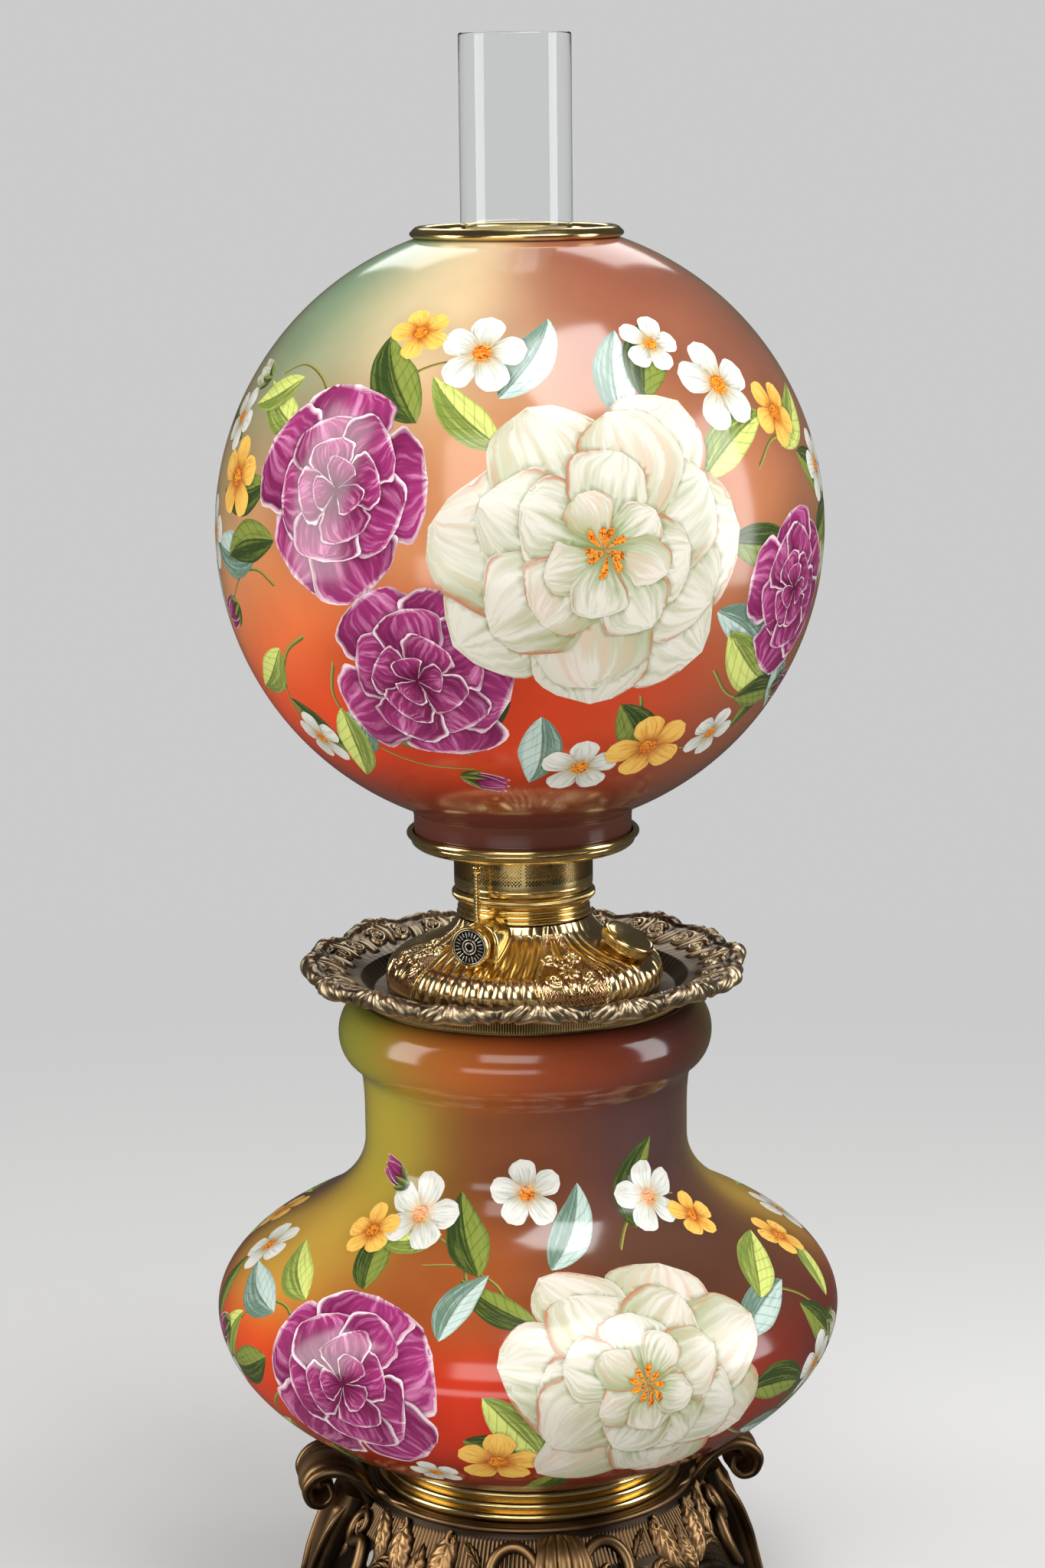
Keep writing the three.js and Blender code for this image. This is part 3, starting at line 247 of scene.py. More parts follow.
def rounded(corners, size=0.0, count=4):
    """An outline whose corners (r, z) or (r, z, size) are rounded off."""
    made = []
    for i, corner in enumerate(corners):
        here = np.array(corner[:2], float)
        cut = corner[2] if len(corner) > 2 else size
        before = np.array(corners[i - 1][:2], float)
        after = np.array(corners[(i + 1) % len(corners)][:2], float)
        if cut == 0 or here[0] == 0:
            made.append(here)
            continue
        back, on = np.linalg.norm(before - here), np.linalg.norm(after - here)
        cut = min(cut, 0.48 * back, 0.48 * on)
        start, end = here + (before - here) * cut / back, here + (after - here) * cut / on
        made += curve(start, here, end, np.linspace(0, 1, count + 1))
    return made


def at(level, *points):
    """Outline points, each a radius, a height above the level, and where wanted its corner's size."""
    return [(r, level + rise, *size) for r, rise, *size in points]


def arc(r, z, size, start, end, count=10, tall=None):
    """Points on an arc in the outline's plane, its angles in degrees from outwards to up."""
    a = np.radians(np.linspace(start, end, count + 1))
    return [(r + size * math.cos(t), z + (tall or size) * math.sin(t)) for t in a]


def through(points, count=12):
    """A smooth line through the points."""
    p = np.array(points, float)
    p = np.vstack([2 * p[0] - p[1], p, 2 * p[-1] - p[-2]])
    made = []
    for i in range(1, len(p) - 2):
        for t in np.arange(count) / count:
            made.append(0.5 * (2 * p[i] + (p[i + 1] - p[i - 1]) * t
                               + (2 * p[i - 1] - 5 * p[i] + 4 * p[i + 1] - p[i + 2]) * t**2
                               + (3 * p[i] - p[i - 1] - 3 * p[i + 1] + p[i + 2]) * t**3))
    return np.array(made + [p[-2]])


def eased(values, count):
    """A list of values, spread evenly over count places."""
    return np.interp(np.linspace(0, 1, count), np.linspace(0, 1, len(values)), values)


def area_of(outline):
    """Twice the area in an outline, below zero where it runs clockwise."""
    p = np.array(outline, float)
    q = np.roll(p, -1, 0)
    return np.sum(p[:, 0] * q[:, 1] - q[:, 0] * p[:, 1])


def turned(outline, sides=96):
    """A lathe form: places and faces. The outline closes on itself, or on the axis at both ends."""
    outline = [(float(r), float(z)) for r, z in outline]
    if area_of(outline) < 0:
        outline = outline[::-1]
    rings = np.array([p for p in outline if p[0] > 1e-6])
    angles = np.arange(sides) * 360 / sides
    places = around(rings[:, :1], angles[None, :], rings[:, 1:])
    capped = outline[0][0] <= 1e-6
    faces = pieced(len(rings), sides, wrap_rows=not capped)
    if capped:
        first, last = len(places), len(places) + 1
        places = np.vstack([places, [[0, 0, outline[0][1]], [0, 0, outline[-1][1]]]])
        top = (len(rings) - 1) * sides
        for j in range(sides):
            faces.append((first, (j + 1) % sides, j))
            faces.append((last, top + j, top + (j + 1) % sides))
    return places, faces


def embossed(outline, columns, spacing, lift):
    """A closed lathe form, raised by lift(angle, radius, height, length along the outline)."""
    outline = np.array(outline, float)
    line = []
    for here, there in zip(outline, np.roll(outline, -1, 0)):
        count = max(1, int(np.ceil(np.linalg.norm(there - here) / spacing)))
        line += [here + (there - here) * k / count for k in range(count)]
    line = np.array(line)
    along = np.roll(line, -1, 0) - np.roll(line, 1, 0)
    along /= np.maximum(np.linalg.norm(along, axis=1), 1e-9)[:, None]
    way = int(np.sign(area_of(line)))
    out = np.stack([along[:, 1], -along[:, 0]], 1) * way
    a, s = np.meshgrid(np.arange(columns) * 360 / columns, run(line))
    r, z = (np.repeat(line[:, k:k + 1], columns, 1) for k in (0, 1))
    rise, crest = lift(a, r, z, s)
    r, z = r + out[:, :1] * rise, z + out[:, 1:] * rise
    faces = [f[::way] for f in pieced(len(line), columns, wrap_rows=True)]
    return around(r, a, z), faces, crest.ravel()


def swept(path, wide, thick, across, count=14, ribs=0, rib_depth=0.0, square=1.0):
    """A bar with an oval section along a path; across is the direction of its width. The lists wide
    and thick are spread over the path."""
    path = np.asarray(path, float)
    along = heading(path)
    across = np.broadcast_to(np.asarray(across, float), path.shape)
    across = across - np.sum(across * along, 1)[:, None] * along
    across /= np.linalg.norm(across, axis=1)[:, None]
    up = np.cross(along, across)
    t = np.arange(count) / count * 2 * np.pi
    c, s = (np.sign(v) * np.abs(v) ** square for v in (np.cos(t), np.sin(t)))
    wide, thick = (eased(np.atleast_1d(v), len(path))[:, None] for v in (wide, thick))
    crest = np.broadcast_to(0.35 + 0.45 * np.abs(s), (len(path), count))
    depth = thick
    if ribs:
        ribbed = np.abs(np.cos(ribs * c * np.pi / 2)) - 0.5
        depth, crest = thick * (1 + rib_depth * ribbed), crest + 0.3 * ribbed
    places = path[:, None] + across[:, None] * (wide * c)[..., None] + up[:, None] * (depth * s)[..., None]
    return places.reshape(-1, 3), closed(len(path), count), np.array(crest).ravel()


def triangled(points, loops):
    """A flat sheet that the loops are cut into: its places, its faces, and each one's loops."""
    made = delaunay_2d_cdt([Vector(p) for p in points], [], loops, 0, 1e-5)
    return np.array([tuple(v) for v in made[0]]), [tuple(f) for f in made[2]], made[5]


def welded(flat, width, slack=1e-3):
    """Each point's own number, but on a sheet's last column the number of its fellow on the first."""
    start = flat[:, 0].min()
    first = {round(float(flat[i, 1]), 3): i for i in np.nonzero(flat[:, 0] < start + slack)[0]}
    same = np.arange(len(flat))
    for i in np.nonzero(flat[:, 0] > start + width - slack)[0]:
        same[i] = first[round(float(flat[i, 1]), 3)]
    return same


def walled(points, holes, width, place):
    """A sheet with holes and a real thickness, which closes round on itself.
    place gives the points of its outside (side 0) and inside (side 1)."""
    flat, faces, parts = triangled(points, holes)
    same = welded(flat, width)
    faces = [tuple(int(same[k]) for k in f) for f, inside in zip(faces, parts) if not inside]
    edges = dict.fromkeys(edge for f in faces for edge in zip(f, f[1:] + f[:1]))
    count = len(flat)
    inside = [tuple(k + count for k in f[::-1]) for f in faces]
    rims = [(b, a, a + count, b + count) for a, b in edges if (b, a) not in edges]
    places = np.vstack([place(flat[:, 0], flat[:, 1], side) for side in (0, 1)])
    return places, faces + inside + rims


class Build:
    """Collects the forms of one piece."""

    def __init__(self):
        self.places, self.faces, self.crests, self.which, self.count = [], [], [], [], 0

    def add(self, form, material=0, matrix=None, crest=0.75):
        places, faces = np.asarray(form[0], float), form[1]
        if matrix is not None:
            m = np.array(matrix)
            places = places @ m[:3, :3].T + m[:3, 3]
        self.places.append(places)
        self.faces += [tuple(int(k) + self.count for k in f) for f in faces]
        self.which += [material] * len(faces)
        self.crests.append(form[2] if len(form) > 2 else np.full(len(places), crest))
        self.count += len(places)
        return self

    def piece(self, node, *materials, name=None, matrix=None, sharp=38, stands_for=True):
        """Makes the piece that stands for a CAD node, or that goes with it."""
        name = name or node + "_form"
        mesh = bpy.data.meshes.new(name)
        places = np.vstack(self.places) * MM
        mesh.from_pydata(places.tolist(), [], self.faces)
        for material in materials or [slot_of[node]]:
            mesh.materials.append(finishes[material])
        mesh.polygons.foreach_set("material_index", self.which)
        crest = mesh.attributes.new("crest", "FLOAT", "POINT")
        crest.data.foreach_set("value", np.concatenate(self.crests).astype(np.float32))
        if matrix is not None:
            moved = matrix.copy()
            moved.translation = moved.translation * MM
            mesh.transform(moved)
        mesh.validate()
        mesh.shade_smooth()
        mesh.set_sharp_from_angle(angle=math.radians(sharp))
        shown(name, mesh, node, [node] if stands_for else [])


def shown(name, mesh, node, nodes):
    """Shows a mesh as a piece on the CAD node's body, in place of the nodes."""
    body, slot = body_of[node], slot_of[node]
    made = bpy.data.objects.new(name, mesh)
    bpy.context.scene.collection.objects.link(made)
    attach(made, body)
    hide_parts(*nodes)


def lathe(node, outline, sides=96, matrix=None):
    """A plain lathe piece that stands for a CAD node."""
    Build().add(turned(outline, sides)).piece(node, matrix=matrix)


# A height field's parts, in millimetres on the surface
def hump(x, y, half_x, half_y, turn=0.0):
    """A rounded mound: 1 in the middle, 0 at the edge and outside."""
    c, s = math.cos(math.radians(turn)), math.sin(math.radians(turn))
    q = ((x * c + y * s) / half_x) ** 2 + ((y * c - x * s) / half_y) ** 2
    return np.sqrt(np.clip(1 - q, 0, 1))


def ridge(distance, half):
    """A rounded ridge: 1 on its middle line, 0 from half a width away."""
    return np.sqrt(np.clip(1 - (distance / half) ** 2, 0, 1))


def smooth(value, start, end):
    """0 up to the start, 1 from the end, and smooth between them."""
    t = np.clip((value - start) / (end - start), 0, 1)
    return t * t * (3 - 2 * t)


# Cast base: a plate, a fluted frieze, a pierced bell with arches, and four legs. The legs at the
# sides carry an ear, and those in front and behind a lobed shell
plate_top = ends("base_ring")[0] - joint_gap
bell_neck, bell_flare, bell_depth = 78, 21.5, 51
bell_top = 66  # where the pierced sheet begins
arch_foot, arch_rise, arch_half = 30, 22, 34
flat_radius, flat_height = 97, 40  # the sheet's size before it is bent round and fitted to the arches
leg_radius = 92  # where places beside a leg are measured
legs = [9, 99, 189, 279]  # angles of the front, right, back and left leg
bell_wall = 4.0

groove = 0.35
plate = at(plate_top, (3.4, -4.5), (3.4, 0), (50, 0))
for radius in np.arange(52, 76.5, 5 * groove):
    plate += [(radius + k * groove, plate_top - drop) for k, drop in enumerate((0, 0.3, 0.3, 0))]
plate += arc(76.6, plate_top - 1.5, 1.5, 84, -40, 6)
plate += at(plate_top, (77.2, -3.2), (77.4, -6), (72, -6), (72, -4.5))


def bell_fall(z):
    return np.clip((plate_top - 4 - z) / bell_depth, 0, 1) * np.pi / 2


def bell_radius(z):
    return bell_neck + bell_flare * np.sin(bell_fall(z))


def on_bell(angle, z, lift=0.0):
    slope = bell_flare * np.pi / (2 * bell_depth) * np.cos(bell_fall(z))
    size = np.sqrt(1 + slope ** 2)
    return around(bell_radius(z) + lift / size, angle, z + lift * slope / size)


frieze_flutes, flute_depth = 264, 0.9


def frieze_lift(a, r, z, s):
    outside = r > bell_radius(z) - 1.2
    here = outside * smooth(z, 66.5, 68.5) * (1 - smooth(z, 78.5, 80.5))
    flutes = np.abs(np.cos(np.radians(a) * frieze_flutes / 2))
    return here * (flutes - 1) * flute_depth, np.where(outside, 0.25 + 0.5 * flutes * here, 0.3)


frieze = [(float(bell_radius(z)) + 0.3, z) for z in np.arange(64, 81.1, 1.0)]
frieze += at(plate_top, (77.2, -2.6), (73.5, -4.4), (74.6, -8)) + [(80.0, 64)]


def arch_edge(angle):
    """The height of the bell's lower edge, which rises over each arch."""
    off = flat_radius * np.sin(np.radians(offset(angle, legs[0] + 45, 90)))
    return arch_foot + arch_rise * ridge(off, arch_half)


def bell_place(x, s, side):
    angle = np.degrees(x / flat_radius)
    edge = arch_edge(angle)
    z = edge + (bell_top - edge) * s / flat_height
    bead = 1.9 * ridge(z - edge - 2.2, 2.4) + 0.7 * ridge(z - edge - 6.2, 0.9)
    grain = 0.12 * np.sin(angle * 17 + 5 * np.sin(z * 0.9)) * np.sin(z * 2.7 + 3 * np.sin(angle))
    return on_bell(angle, z, np.where(side == 0, bead + grain, -bell_wall))


columns, rows = 720, 32
width = 2 * math.pi * flat_radius
points = np.stack(np.meshgrid(np.linspace(-width / 2, width / 2, columns + 1),
                              np.linspace(0, flat_height, rows + 1)), -1)
points = [tuple(p) for p in points.reshape(-1, 2)]
holes = []
# A round eye on each side of a leg
eye_turn, eye_height, eye_size, eye_sides = 24, 60, 4.7, 24
eye_reach = 90  # from the lamp's axis
for leg in legs:
    for side in (-1, 1):
        t = np.radians(np.linspace(0, 360 - 360 / eye_sides, eye_sides))
        angle = offset(leg + side * eye_turn, 0) + np.degrees(eye_size * np.cos(t) / eye_reach)
        share = (eye_height + eye_size * np.sin(t) - arch_edge(angle)) / (bell_top - arch_edge(angle))
        holes.append(list(range(len(points), len(points) + eye_sides)))
        points += [(math.radians(x) * flat_radius, s * flat_height) for x, s in zip(angle, share)]

base = Build()
base.add(turned(plate, 160), crest=0.62)
base.add(embossed(frieze, 1320, 1.0, frieze_lift))
base.add(walled(points, holes, width, bell_place), crest=0.35)


def volute(x, z, size, start, sweep, count=22):
    """A spiral that opens from its middle to the given size."""
    t = np.linspace(0, 1, count)
    turn, reach = np.radians(start + sweep * t), size * (0.16 + 0.84 * t)
    return [(x + r * math.cos(a), z + r * math.sin(a)) for r, a in zip(reach, turn)]


def scroll_on_bell(leg, side, line, thick, lift=1.6):
    """A raised scroll; the line is (distance from the leg's middle, height), and side is 1 or -1."""
    line = np.array(line, float) * (side, 1)
    angle = leg + np.degrees(line[:, 0] / leg_radius)
    path = on_bell(angle, line[:, 1], lift)
    out = on_bell(angle, line[:, 1], lift + 1) - path
    return swept(path, thick, thick, np.cross(out, np.gradient(path, axis=0)), 12)


def leaf_on_bell(leg, side, line, half, tall, lobes=4):
    """A raised, ribbed leaf along a line of (distance from the leg's middle, height)."""
    line = through(np.array(line, float) * (side, 1), 10)
    t = np.linspace(0, 1, len(line))[:, None]
    v = np.linspace(-1, 1, 25)[None]
    along = heading(line)
    out = np.stack([along[:, 1], -along[:, 0]], 1)
    taper = np.sin(np.pi * np.clip(t * 0.93 + 0.07, 0, 1)) ** 0.7
    wide = half * taper * (1 + 0.16 * np.abs(np.sin(np.pi * lobes * t)))
    x, z = (line[:, k:k + 1] + out[:, k:k + 1] * wide * v for k in (0, 1))
    ribs = np.abs(np.cos(np.pi * (lobes * t - 1.4 * np.abs(v))))
    rise = tall * (1 - v ** 2) ** 0.6 * np.sin(np.pi * (t * 0.8 + 0.15)) + 0.7 * (ribs - 0.5) * (1 - v ** 4)
    rise = rise - 0.9 * np.exp(-(v / 0.1) ** 2) - 1.6 * np.abs(v) ** 12
    places = on_bell(leg + np.degrees(x.ravel() / leg_radius), z.ravel(), rise.ravel())
    return places, pieced(len(line), 25, wrap_columns=False), np.clip(0.35 + 0.22 * rise, 0, 1).ravel()


def beside_leg(leg, points):
    """Points (along the tangent, outwards, up) near a leg, in the lamp's frame."""
    a = math.radians(leg)
    p = np.asarray(points, float)
    return np.stack([p[:, 0] * math.cos(a) + p[:, 1] * math.sin(a),
                     p[:, 0] * math.sin(a) - p[:, 1] * math.cos(a), p[:, 2]], 1)


def bar_on_leg(leg, line, wide, thick, *section):
    """A bar in a leg's middle plane; the line is (radius, height)."""
    return swept(beside_leg(leg, [(0, r, z) for r, z in line]), wide, thick, beside_leg(leg, [(1, 0, 0)])[0],
                 *section)


def tube_on_leg(leg, line, shift, thick, wide=None):
    """A raised bar in front of a leg; shift is its distance from the middle plane."""
    line = through(line, 7)
    path = beside_leg(leg, [(x, r, z) for x, (r, z) in zip(eased(shift, len(line)), line)])
    return swept(path, wide or thick, thick, beside_leg(leg, [(1, 0, 0)])[0], 14)


foot_line = [(104.5, 22), (110, 9), (111.6, 4), (111.6, 0)]
foot_edge = [(107.6, 38), (111.5, 22), (117, 9), (119.5, 4.4)]
roll_radius, roll_height = 116.6, 4.3  # the roll across the foot's front
ear = through([(77, 76), (82, 86), (89, 92.5), (97, 94.6), (104, 92.2), (107.6, 86), (106, 79.8),
               (100.6, 77.6), (96.4, 81), (97.6, 85.8), (101, 86)], 7)
ear_curl = [(74, 80), (84, 90.5), (94, 95.0), (103, 93.0), (107.9, 86.6), (106, 79.4), (100.4, 77.4),
            (96.2, 81), (97.6, 86.0), (101.2, 86.2)]
for leg in legs:
    eared = leg in legs[1::2]
    if eared:
        # The ear, a broad leaf rolled outwards
        base.add(bar_on_leg(leg, ear, [20, 19.5, 19, 18, 16.5, 15.5, 14.5, 13.5, 12, 10.5, 9],
                            [2.6, 2.5, 2.3, 2.2, 2.1, 2.0, 1.9, 1.8, 1.6, 1.5, 1.0], 48, 7, 0.9, 0.7))
        for side in (-1, 1):
            shift = [x * side for x in (21, 20.5, 19, 17.5, 16, 15, 14, 13, 11.5, 10)]
            base.add(tube_on_leg(leg, ear_curl, shift, [1.2, 2.3, 2.6, 2.6, 2.5, 2.2, 1.9, 1.6, 1.3, 0.8]))
            # A wavy leaf edge that runs from the ear along the plate
            turn = np.linspace(11, 40, 40)
            radius = bell_neck - np.linspace(0.5, 2.5, 40) + 0.7 * np.sin(np.linspace(0, 5 * np.pi, 40))
            edge = around(radius, leg + side * turn, plate_top + 0.2 - 0.03 * (turn - 11))
            base.add(swept(edge, [2.2, 1.9, 1.6, 1.0, 0.5], [1.6, 1.4, 1.1, 0.7, 0.3], (0, 0, 1), 10))
        top, wide, thick = [(84, 80), (87, 70), (94.5, 53), (99.5, 38)], [15, 15, 11, 9], [7, 9.5, 8.4, 7.6]
        top_edge, shift = [(86, 80), (97, 66), (104, 50)], (13, 13.5, 10.5)
    else:
        # A lobed shell over the top of the leg
        for x, drop in ((0, 0), (5.4, 1.2), (-5.4, 1.2), (9.8, 3.4), (-9.8, 3.4)):
            line = [(81, 82.4 - drop * 0.3), (89, 81.3 - drop * 0.5), (95.5 - drop * 0.3, 77 - drop),
                    (99.6 - drop * 0.4, 69.5 - drop), (100.8 - drop * 0.4, 61), (100 - drop * 0.3, 54 + drop)]
            base.add(tube_on_leg(leg, line, [x * v for v in (0.55, 0.85, 1.05, 1.1, 0.8, 0.3)],
                                 [0.8, 1.9, 2.5, 2.6, 1.9, 0.7], [1.2, 2.6, 3.3, 3.3, 2.4, 0.8]))
        top, wide = [(80, 79), (88, 75), (93.5, 66), (97, 50), (99.5, 38)], [8, 9, 9, 8.6, 9]
        thick = [2.4, 3.6, 5.2, 6.8, 7.6]
        top_edge, shift = [(81, 81), (92, 77), (98.5, 66), (103, 50)], (8.5, 9.8, 9.6, 8.6)
    base.add(bar_on_leg(leg, through(top + foot_line, 7), wide + [9.6, 13, 14.4, 14.6],
                        thick + [7.4, 8.6, 8.8, 8.8], 44, 3, 0.16, 0.6))
    roll = beside_leg(leg, [(x, roll_radius, roll_height) for x in np.linspace(-15, 15, 21)])
    thick = [2.6, 3.8, 4.1, 3.7, 3.9, 3.7, 4.1, 3.8, 2.6]
    for side in (-1, 1):
        moved = [x * side for x in (*shift, 8.4, 9, 12.4, 13.4)]
        base.add(tube_on_leg(leg, top_edge + foot_edge, moved, [1.0, 1.9, 2.0, 1.8, 1.9, 2.0, 1.6]))
    base.add(swept(roll, thick, thick, (0, 0, 1), 20))
    for side in (-1, 1):
        if eared:
            # A hooked scroll beside the ear, with small leaves
            hook = volute(25.5, 69.5, 7.8, 200, 430)
            hook += through([hook[-1], (33.4, 64.5), (37.5, 56), (35, 47), (28, 40.5), (21, 37.5)],
                            7).tolist()[1:]
            base.add(scroll_on_bell(leg, side, hook, [1.0, 1.8, 2.6, 3.3, 3.4, 3.1, 2.4, 1.3]))
            base.add(leaf_on_bell(leg, side, [(15, 79), (19, 70), (20, 62), (17, 52)], 4.4, 2.2))
            base.add(leaf_on_bell(leg, side, [(37, 80), (42.5, 74), (46.5, 66), (47, 58)], 5.2, 2.6, 5))
        else:
            # A round scroll beside the shell
            base.add(scroll_on_bell(leg, side, volute(24.5, 65.5, 14.5, -250, 450, 48),
                                    [1.0, 1.8, 2.5, 3.0, 3.0, 2.7, 1.6], 1.3))
            base.add(leaf_on_bell(leg, side, [(12, 52), (18, 47), (26, 46), (34, 50)], 3.4, 1.8, 3))
            base.add(leaf_on_bell(leg, side, [(39, 68), (42.5, 72), (46, 75), (50, 78)], 2.4, 1.4, 3))
        # A leaf that hangs from a round eye at the plate's edge, and one along the arch
        base.add(leaf_on_bell(leg, side, [(56.5, 79.5), (58.5, 72), (61.5, 64), (67.5, 56)], 7.0, 3.4, 5))
        base.add(scroll_on_bell(leg, side, volute(56, 77.5, 3.4, 90, 340), [0.5, 0.9, 1.3, 1.2]))
        base.add(leaf_on_bell(leg, side, [(44, 56), (50, 61.5), (56, 62), (62, 59)], 3.0, 1.6))
    middle = math.radians(45) * leg_radius
    base.add(leaf_on_bell(leg, 1, [(middle, z) for z in (54, 60, 66, 74)], 5.6, 3.0, 5))
base.piece("cast_base", name="base_form", sharp=60)

# Base ring and collar band
bottom, top = ends("base_ring")
step = (top - bottom) / 3
outline = [(56, bottom)]
for k, radius in enumerate((73, 71.3, 69.6)):
    middle = bottom + (k + 0.5) * step
    half = step / 2 - 0.25
    outline += [(radius - 1.4, middle - half), *arc(radius - 2.3, middle, 2.3, -78, 78, 12, half),
                (radius - 1.4, middle + half), (radius - 2.6, middle + half + 0.2)]
lathe("base_ring", outline + at(top, (66, 0), (66, -1.3), (56, -1.3)), 160)

skirt, band_top = ends("collar_band")
band_foot = ends("vase_body")[1] + joint_gap
band_reeds, reed_depth = 400, 0.45


def band_lift(a, r, z, s):
    outside = r > 75
    reeds = np.abs(np.cos(np.radians(a) * band_reeds / 2))
    here = outside * smooth(z, band_foot + 0.8, band_foot + 1.4)
    here = here * (1 - smooth(z, band_top - 1.4, band_top - 0.7))
    return here * (reeds - 1) * reed_depth, np.where(outside, 0.3 + 0.5 * reeds * here, 0.5)


outline = [(62.5, skirt), (63.7, skirt), (63.7, band_foot), (75.6, band_foot), (75.6, band_top),
           (74.5, band_top), (74.5, band_foot + 1.2), (62.5, band_foot + 1.2)]
Build().add(embossed(outline, 1600, 0.8, band_lift)).piece("collar_band", "band_brass")

# Burner: stepped collar, knurled ring, the shade's two rings
bottom, top = ends("burner_collar")
step = (top - bottom) / 3
outline = [(27, bottom)]
for k, radius in enumerate((31.0, 30.6, 30.2)):
    a, b = bottom + step * k, bottom + step * (k + 1)
    outline += [(radius - 0.9, a + 0.1), *arc(radius - 0.8, (a + b) / 2, 0.8, -70, 70, 8, (b - a) * 0.4),
                (radius - 0.9, b - 0.1)]
lathe("burner_collar", outline + [(27, top)], 128)

knurl_low, knurl_high = ends("knurled_ring")
knurl_teeth, knurl_depth = 330, 0.22


def knurl_lift(a, r, z, s):
    here = smooth(z, knurl_low + 1.1, knurl_low + 1.5) * (1 - smooth(z, knurl_high - 1.5, knurl_high - 1.1))
    here = (r > 32.35) * here
    teeth = np.abs(np.sin(np.radians(a) * knurl_teeth / 2))
    return here * (teeth - 1) * knurl_depth, 0.7 - here * 0.4 * (1 - teeth)


outline = at(knurl_low, (27.5, 0), (31.6, 0), (32.0, 0.5), (32.5, 1.0), (33.0, 1.6))
outline += at(knurl_high, (33.1, (knurl_low - knurl_high) / 2), (33.0, -1.6), (32.5, -1.0), (31.9, -0.5),
              (31.6, 0), (27.5, 0))
Build().add(embossed(outline, 1320, 0.6, knurl_lift)).piece("knurled_ring")

bottom, top = ends("shade_ring")
lathe("shade_ring",
      rounded(at(bottom, (33, 0, 0.2), (49.0, 0, 0.8), (51.2, 1.6, 1.0)) + at(top, (51.9, -3.4, 0.8)))
      + arc(51.9, top - 1.7, 1.6, -80, 200, 16)
      + rounded(at(top, (50.35, -3.6, 0.3)) + at(bottom, (50.35, 1, 0.4), (33, 1, 0.2))), 160)

bottom, top = ends("shade_trim_ring")
lathe("shade_trim_ring",
      [(41.4, bottom), (42.6, bottom), *at(top, (42.6, -4.3), (43.2, -4.1), (46.6, -4.9)),
       *arc(46.5, top - 3.3, 1.3, -70, 60, 8),
       *at(top, (46.2, -1.2), (45.2, -0.4), (44, 0), (42.8, -0.4), (41.8, -1.4), (41.4, -2.4))], 160)


# Basket: a pierced wall with a plain foot and a turned-out top
def pierced(radius, wall, bottom, top, columns, rows, half_x, half_z, foot, head, flare=0.0):
    """A round wall with staggered rows of four-cornered holes, and plain strips at both ends."""
    width = 2 * math.pi * radius
    pitch = width / columns
    rise = (top - head - bottom - foot) / rows
    strip, clear = 0.6, 0.1  # where a plain strip's points lie, and what is left free at the seam
    points = [(x, z) for z in (bottom, bottom + foot * strip, top - head * strip, top)
              for x in np.linspace(0, width, columns + 1)]
    loops = []
    for j in range(rows):
        z = bottom + foot + rise * (j + 0.5)
        for i in range(columns):
            x = pitch * (i + (0.25 if j % 2 else 0.75))
            if half_x + clear < x < width - half_x - clear:
                loops.append([len(points) + k for k in range(4)])
                points += [(x - half_x, z), (x, z - half_z), (x + half_x, z), (x, z + half_z)]
    return walled(points, loops, width, lambda x, s, side: around(
        radius + flare * (s - bottom) / (top - bottom) - wall * side, x / radius * 180 / np.pi, s))


bottom, top = ends("basket")
basket = Build()
basket.add(pierced(32.0, 0.7, bottom + 5.4, top - 0.75, 126, 15, 0.56, 0.62, 0.5, 0.7))
basket.add(turned(rounded(at(
    bottom, (28.1, 0, 0.2), (31.6, 0, 0.5), (32.0, 2.3, 0.3), (31.7, 2.7, 0.2), (32.0, 3.1, 0.3), (32.0, 5.5),
    (31.3, 5.5), (31.2, 0.8, 0.3), (28.1, 0.8, 0.2))), 128))
basket.add(turned(rounded(at(top, (31.3, -1.0), (32.0, -1.0), (35.6, -0.8, 0.2), (35.6, 0, 0.2), (31.3, 0))),
                  128))
basket.piece("basket")

# Font: the dome with its flutes and panels
dome_low, dome_high = ends("font_dome")
dome_line = through(at(dome_high, (31.0, 0), (32.96, -4.16))
                    + at(dome_low, (37.54, 26.2), (44.73, 22.2), (52.58, 19.1), (59.12, 15.8), (62.72, 11.1),
                         (63.7, 5.73), (63.21, 1.74), (62.6, 0)))
dome_run = run(dome_line)[-1]
panel_turn = 22  # the middle of one of the four panels
filler_turn, raiser_turn = 68, -27
raiser_reach = 39  # from the lamp's axis to the middle of the raiser's foot
filler_room, raiser_room, room_edge = 10.5, 9.5, 2.5  # what the relief leaves free, and its soft edge
filler_rise = 20.7  # of the filler's middle above the dome's foot


def scroll_field(x, y, size, turn, half, way=1):
    """A spiral ridge round (0, 0) that starts at the distance size, at the angle turn."""
    distance = np.hypot(x, y)
    angle = (way * (np.degrees(np.arctan2(y, x)) - turn)) % 360
    rise = np.zeros_like(distance)
    for lap in (0, 1):
        line = size * (1 - (angle + 360 * lap) / 620)
        lap_rise = ridge(distance - line, half * (0.55 + 0.45 * line / size))
        rise = np.maximum(rise, lap_rise * (line > 0.1 * size))
    return rise


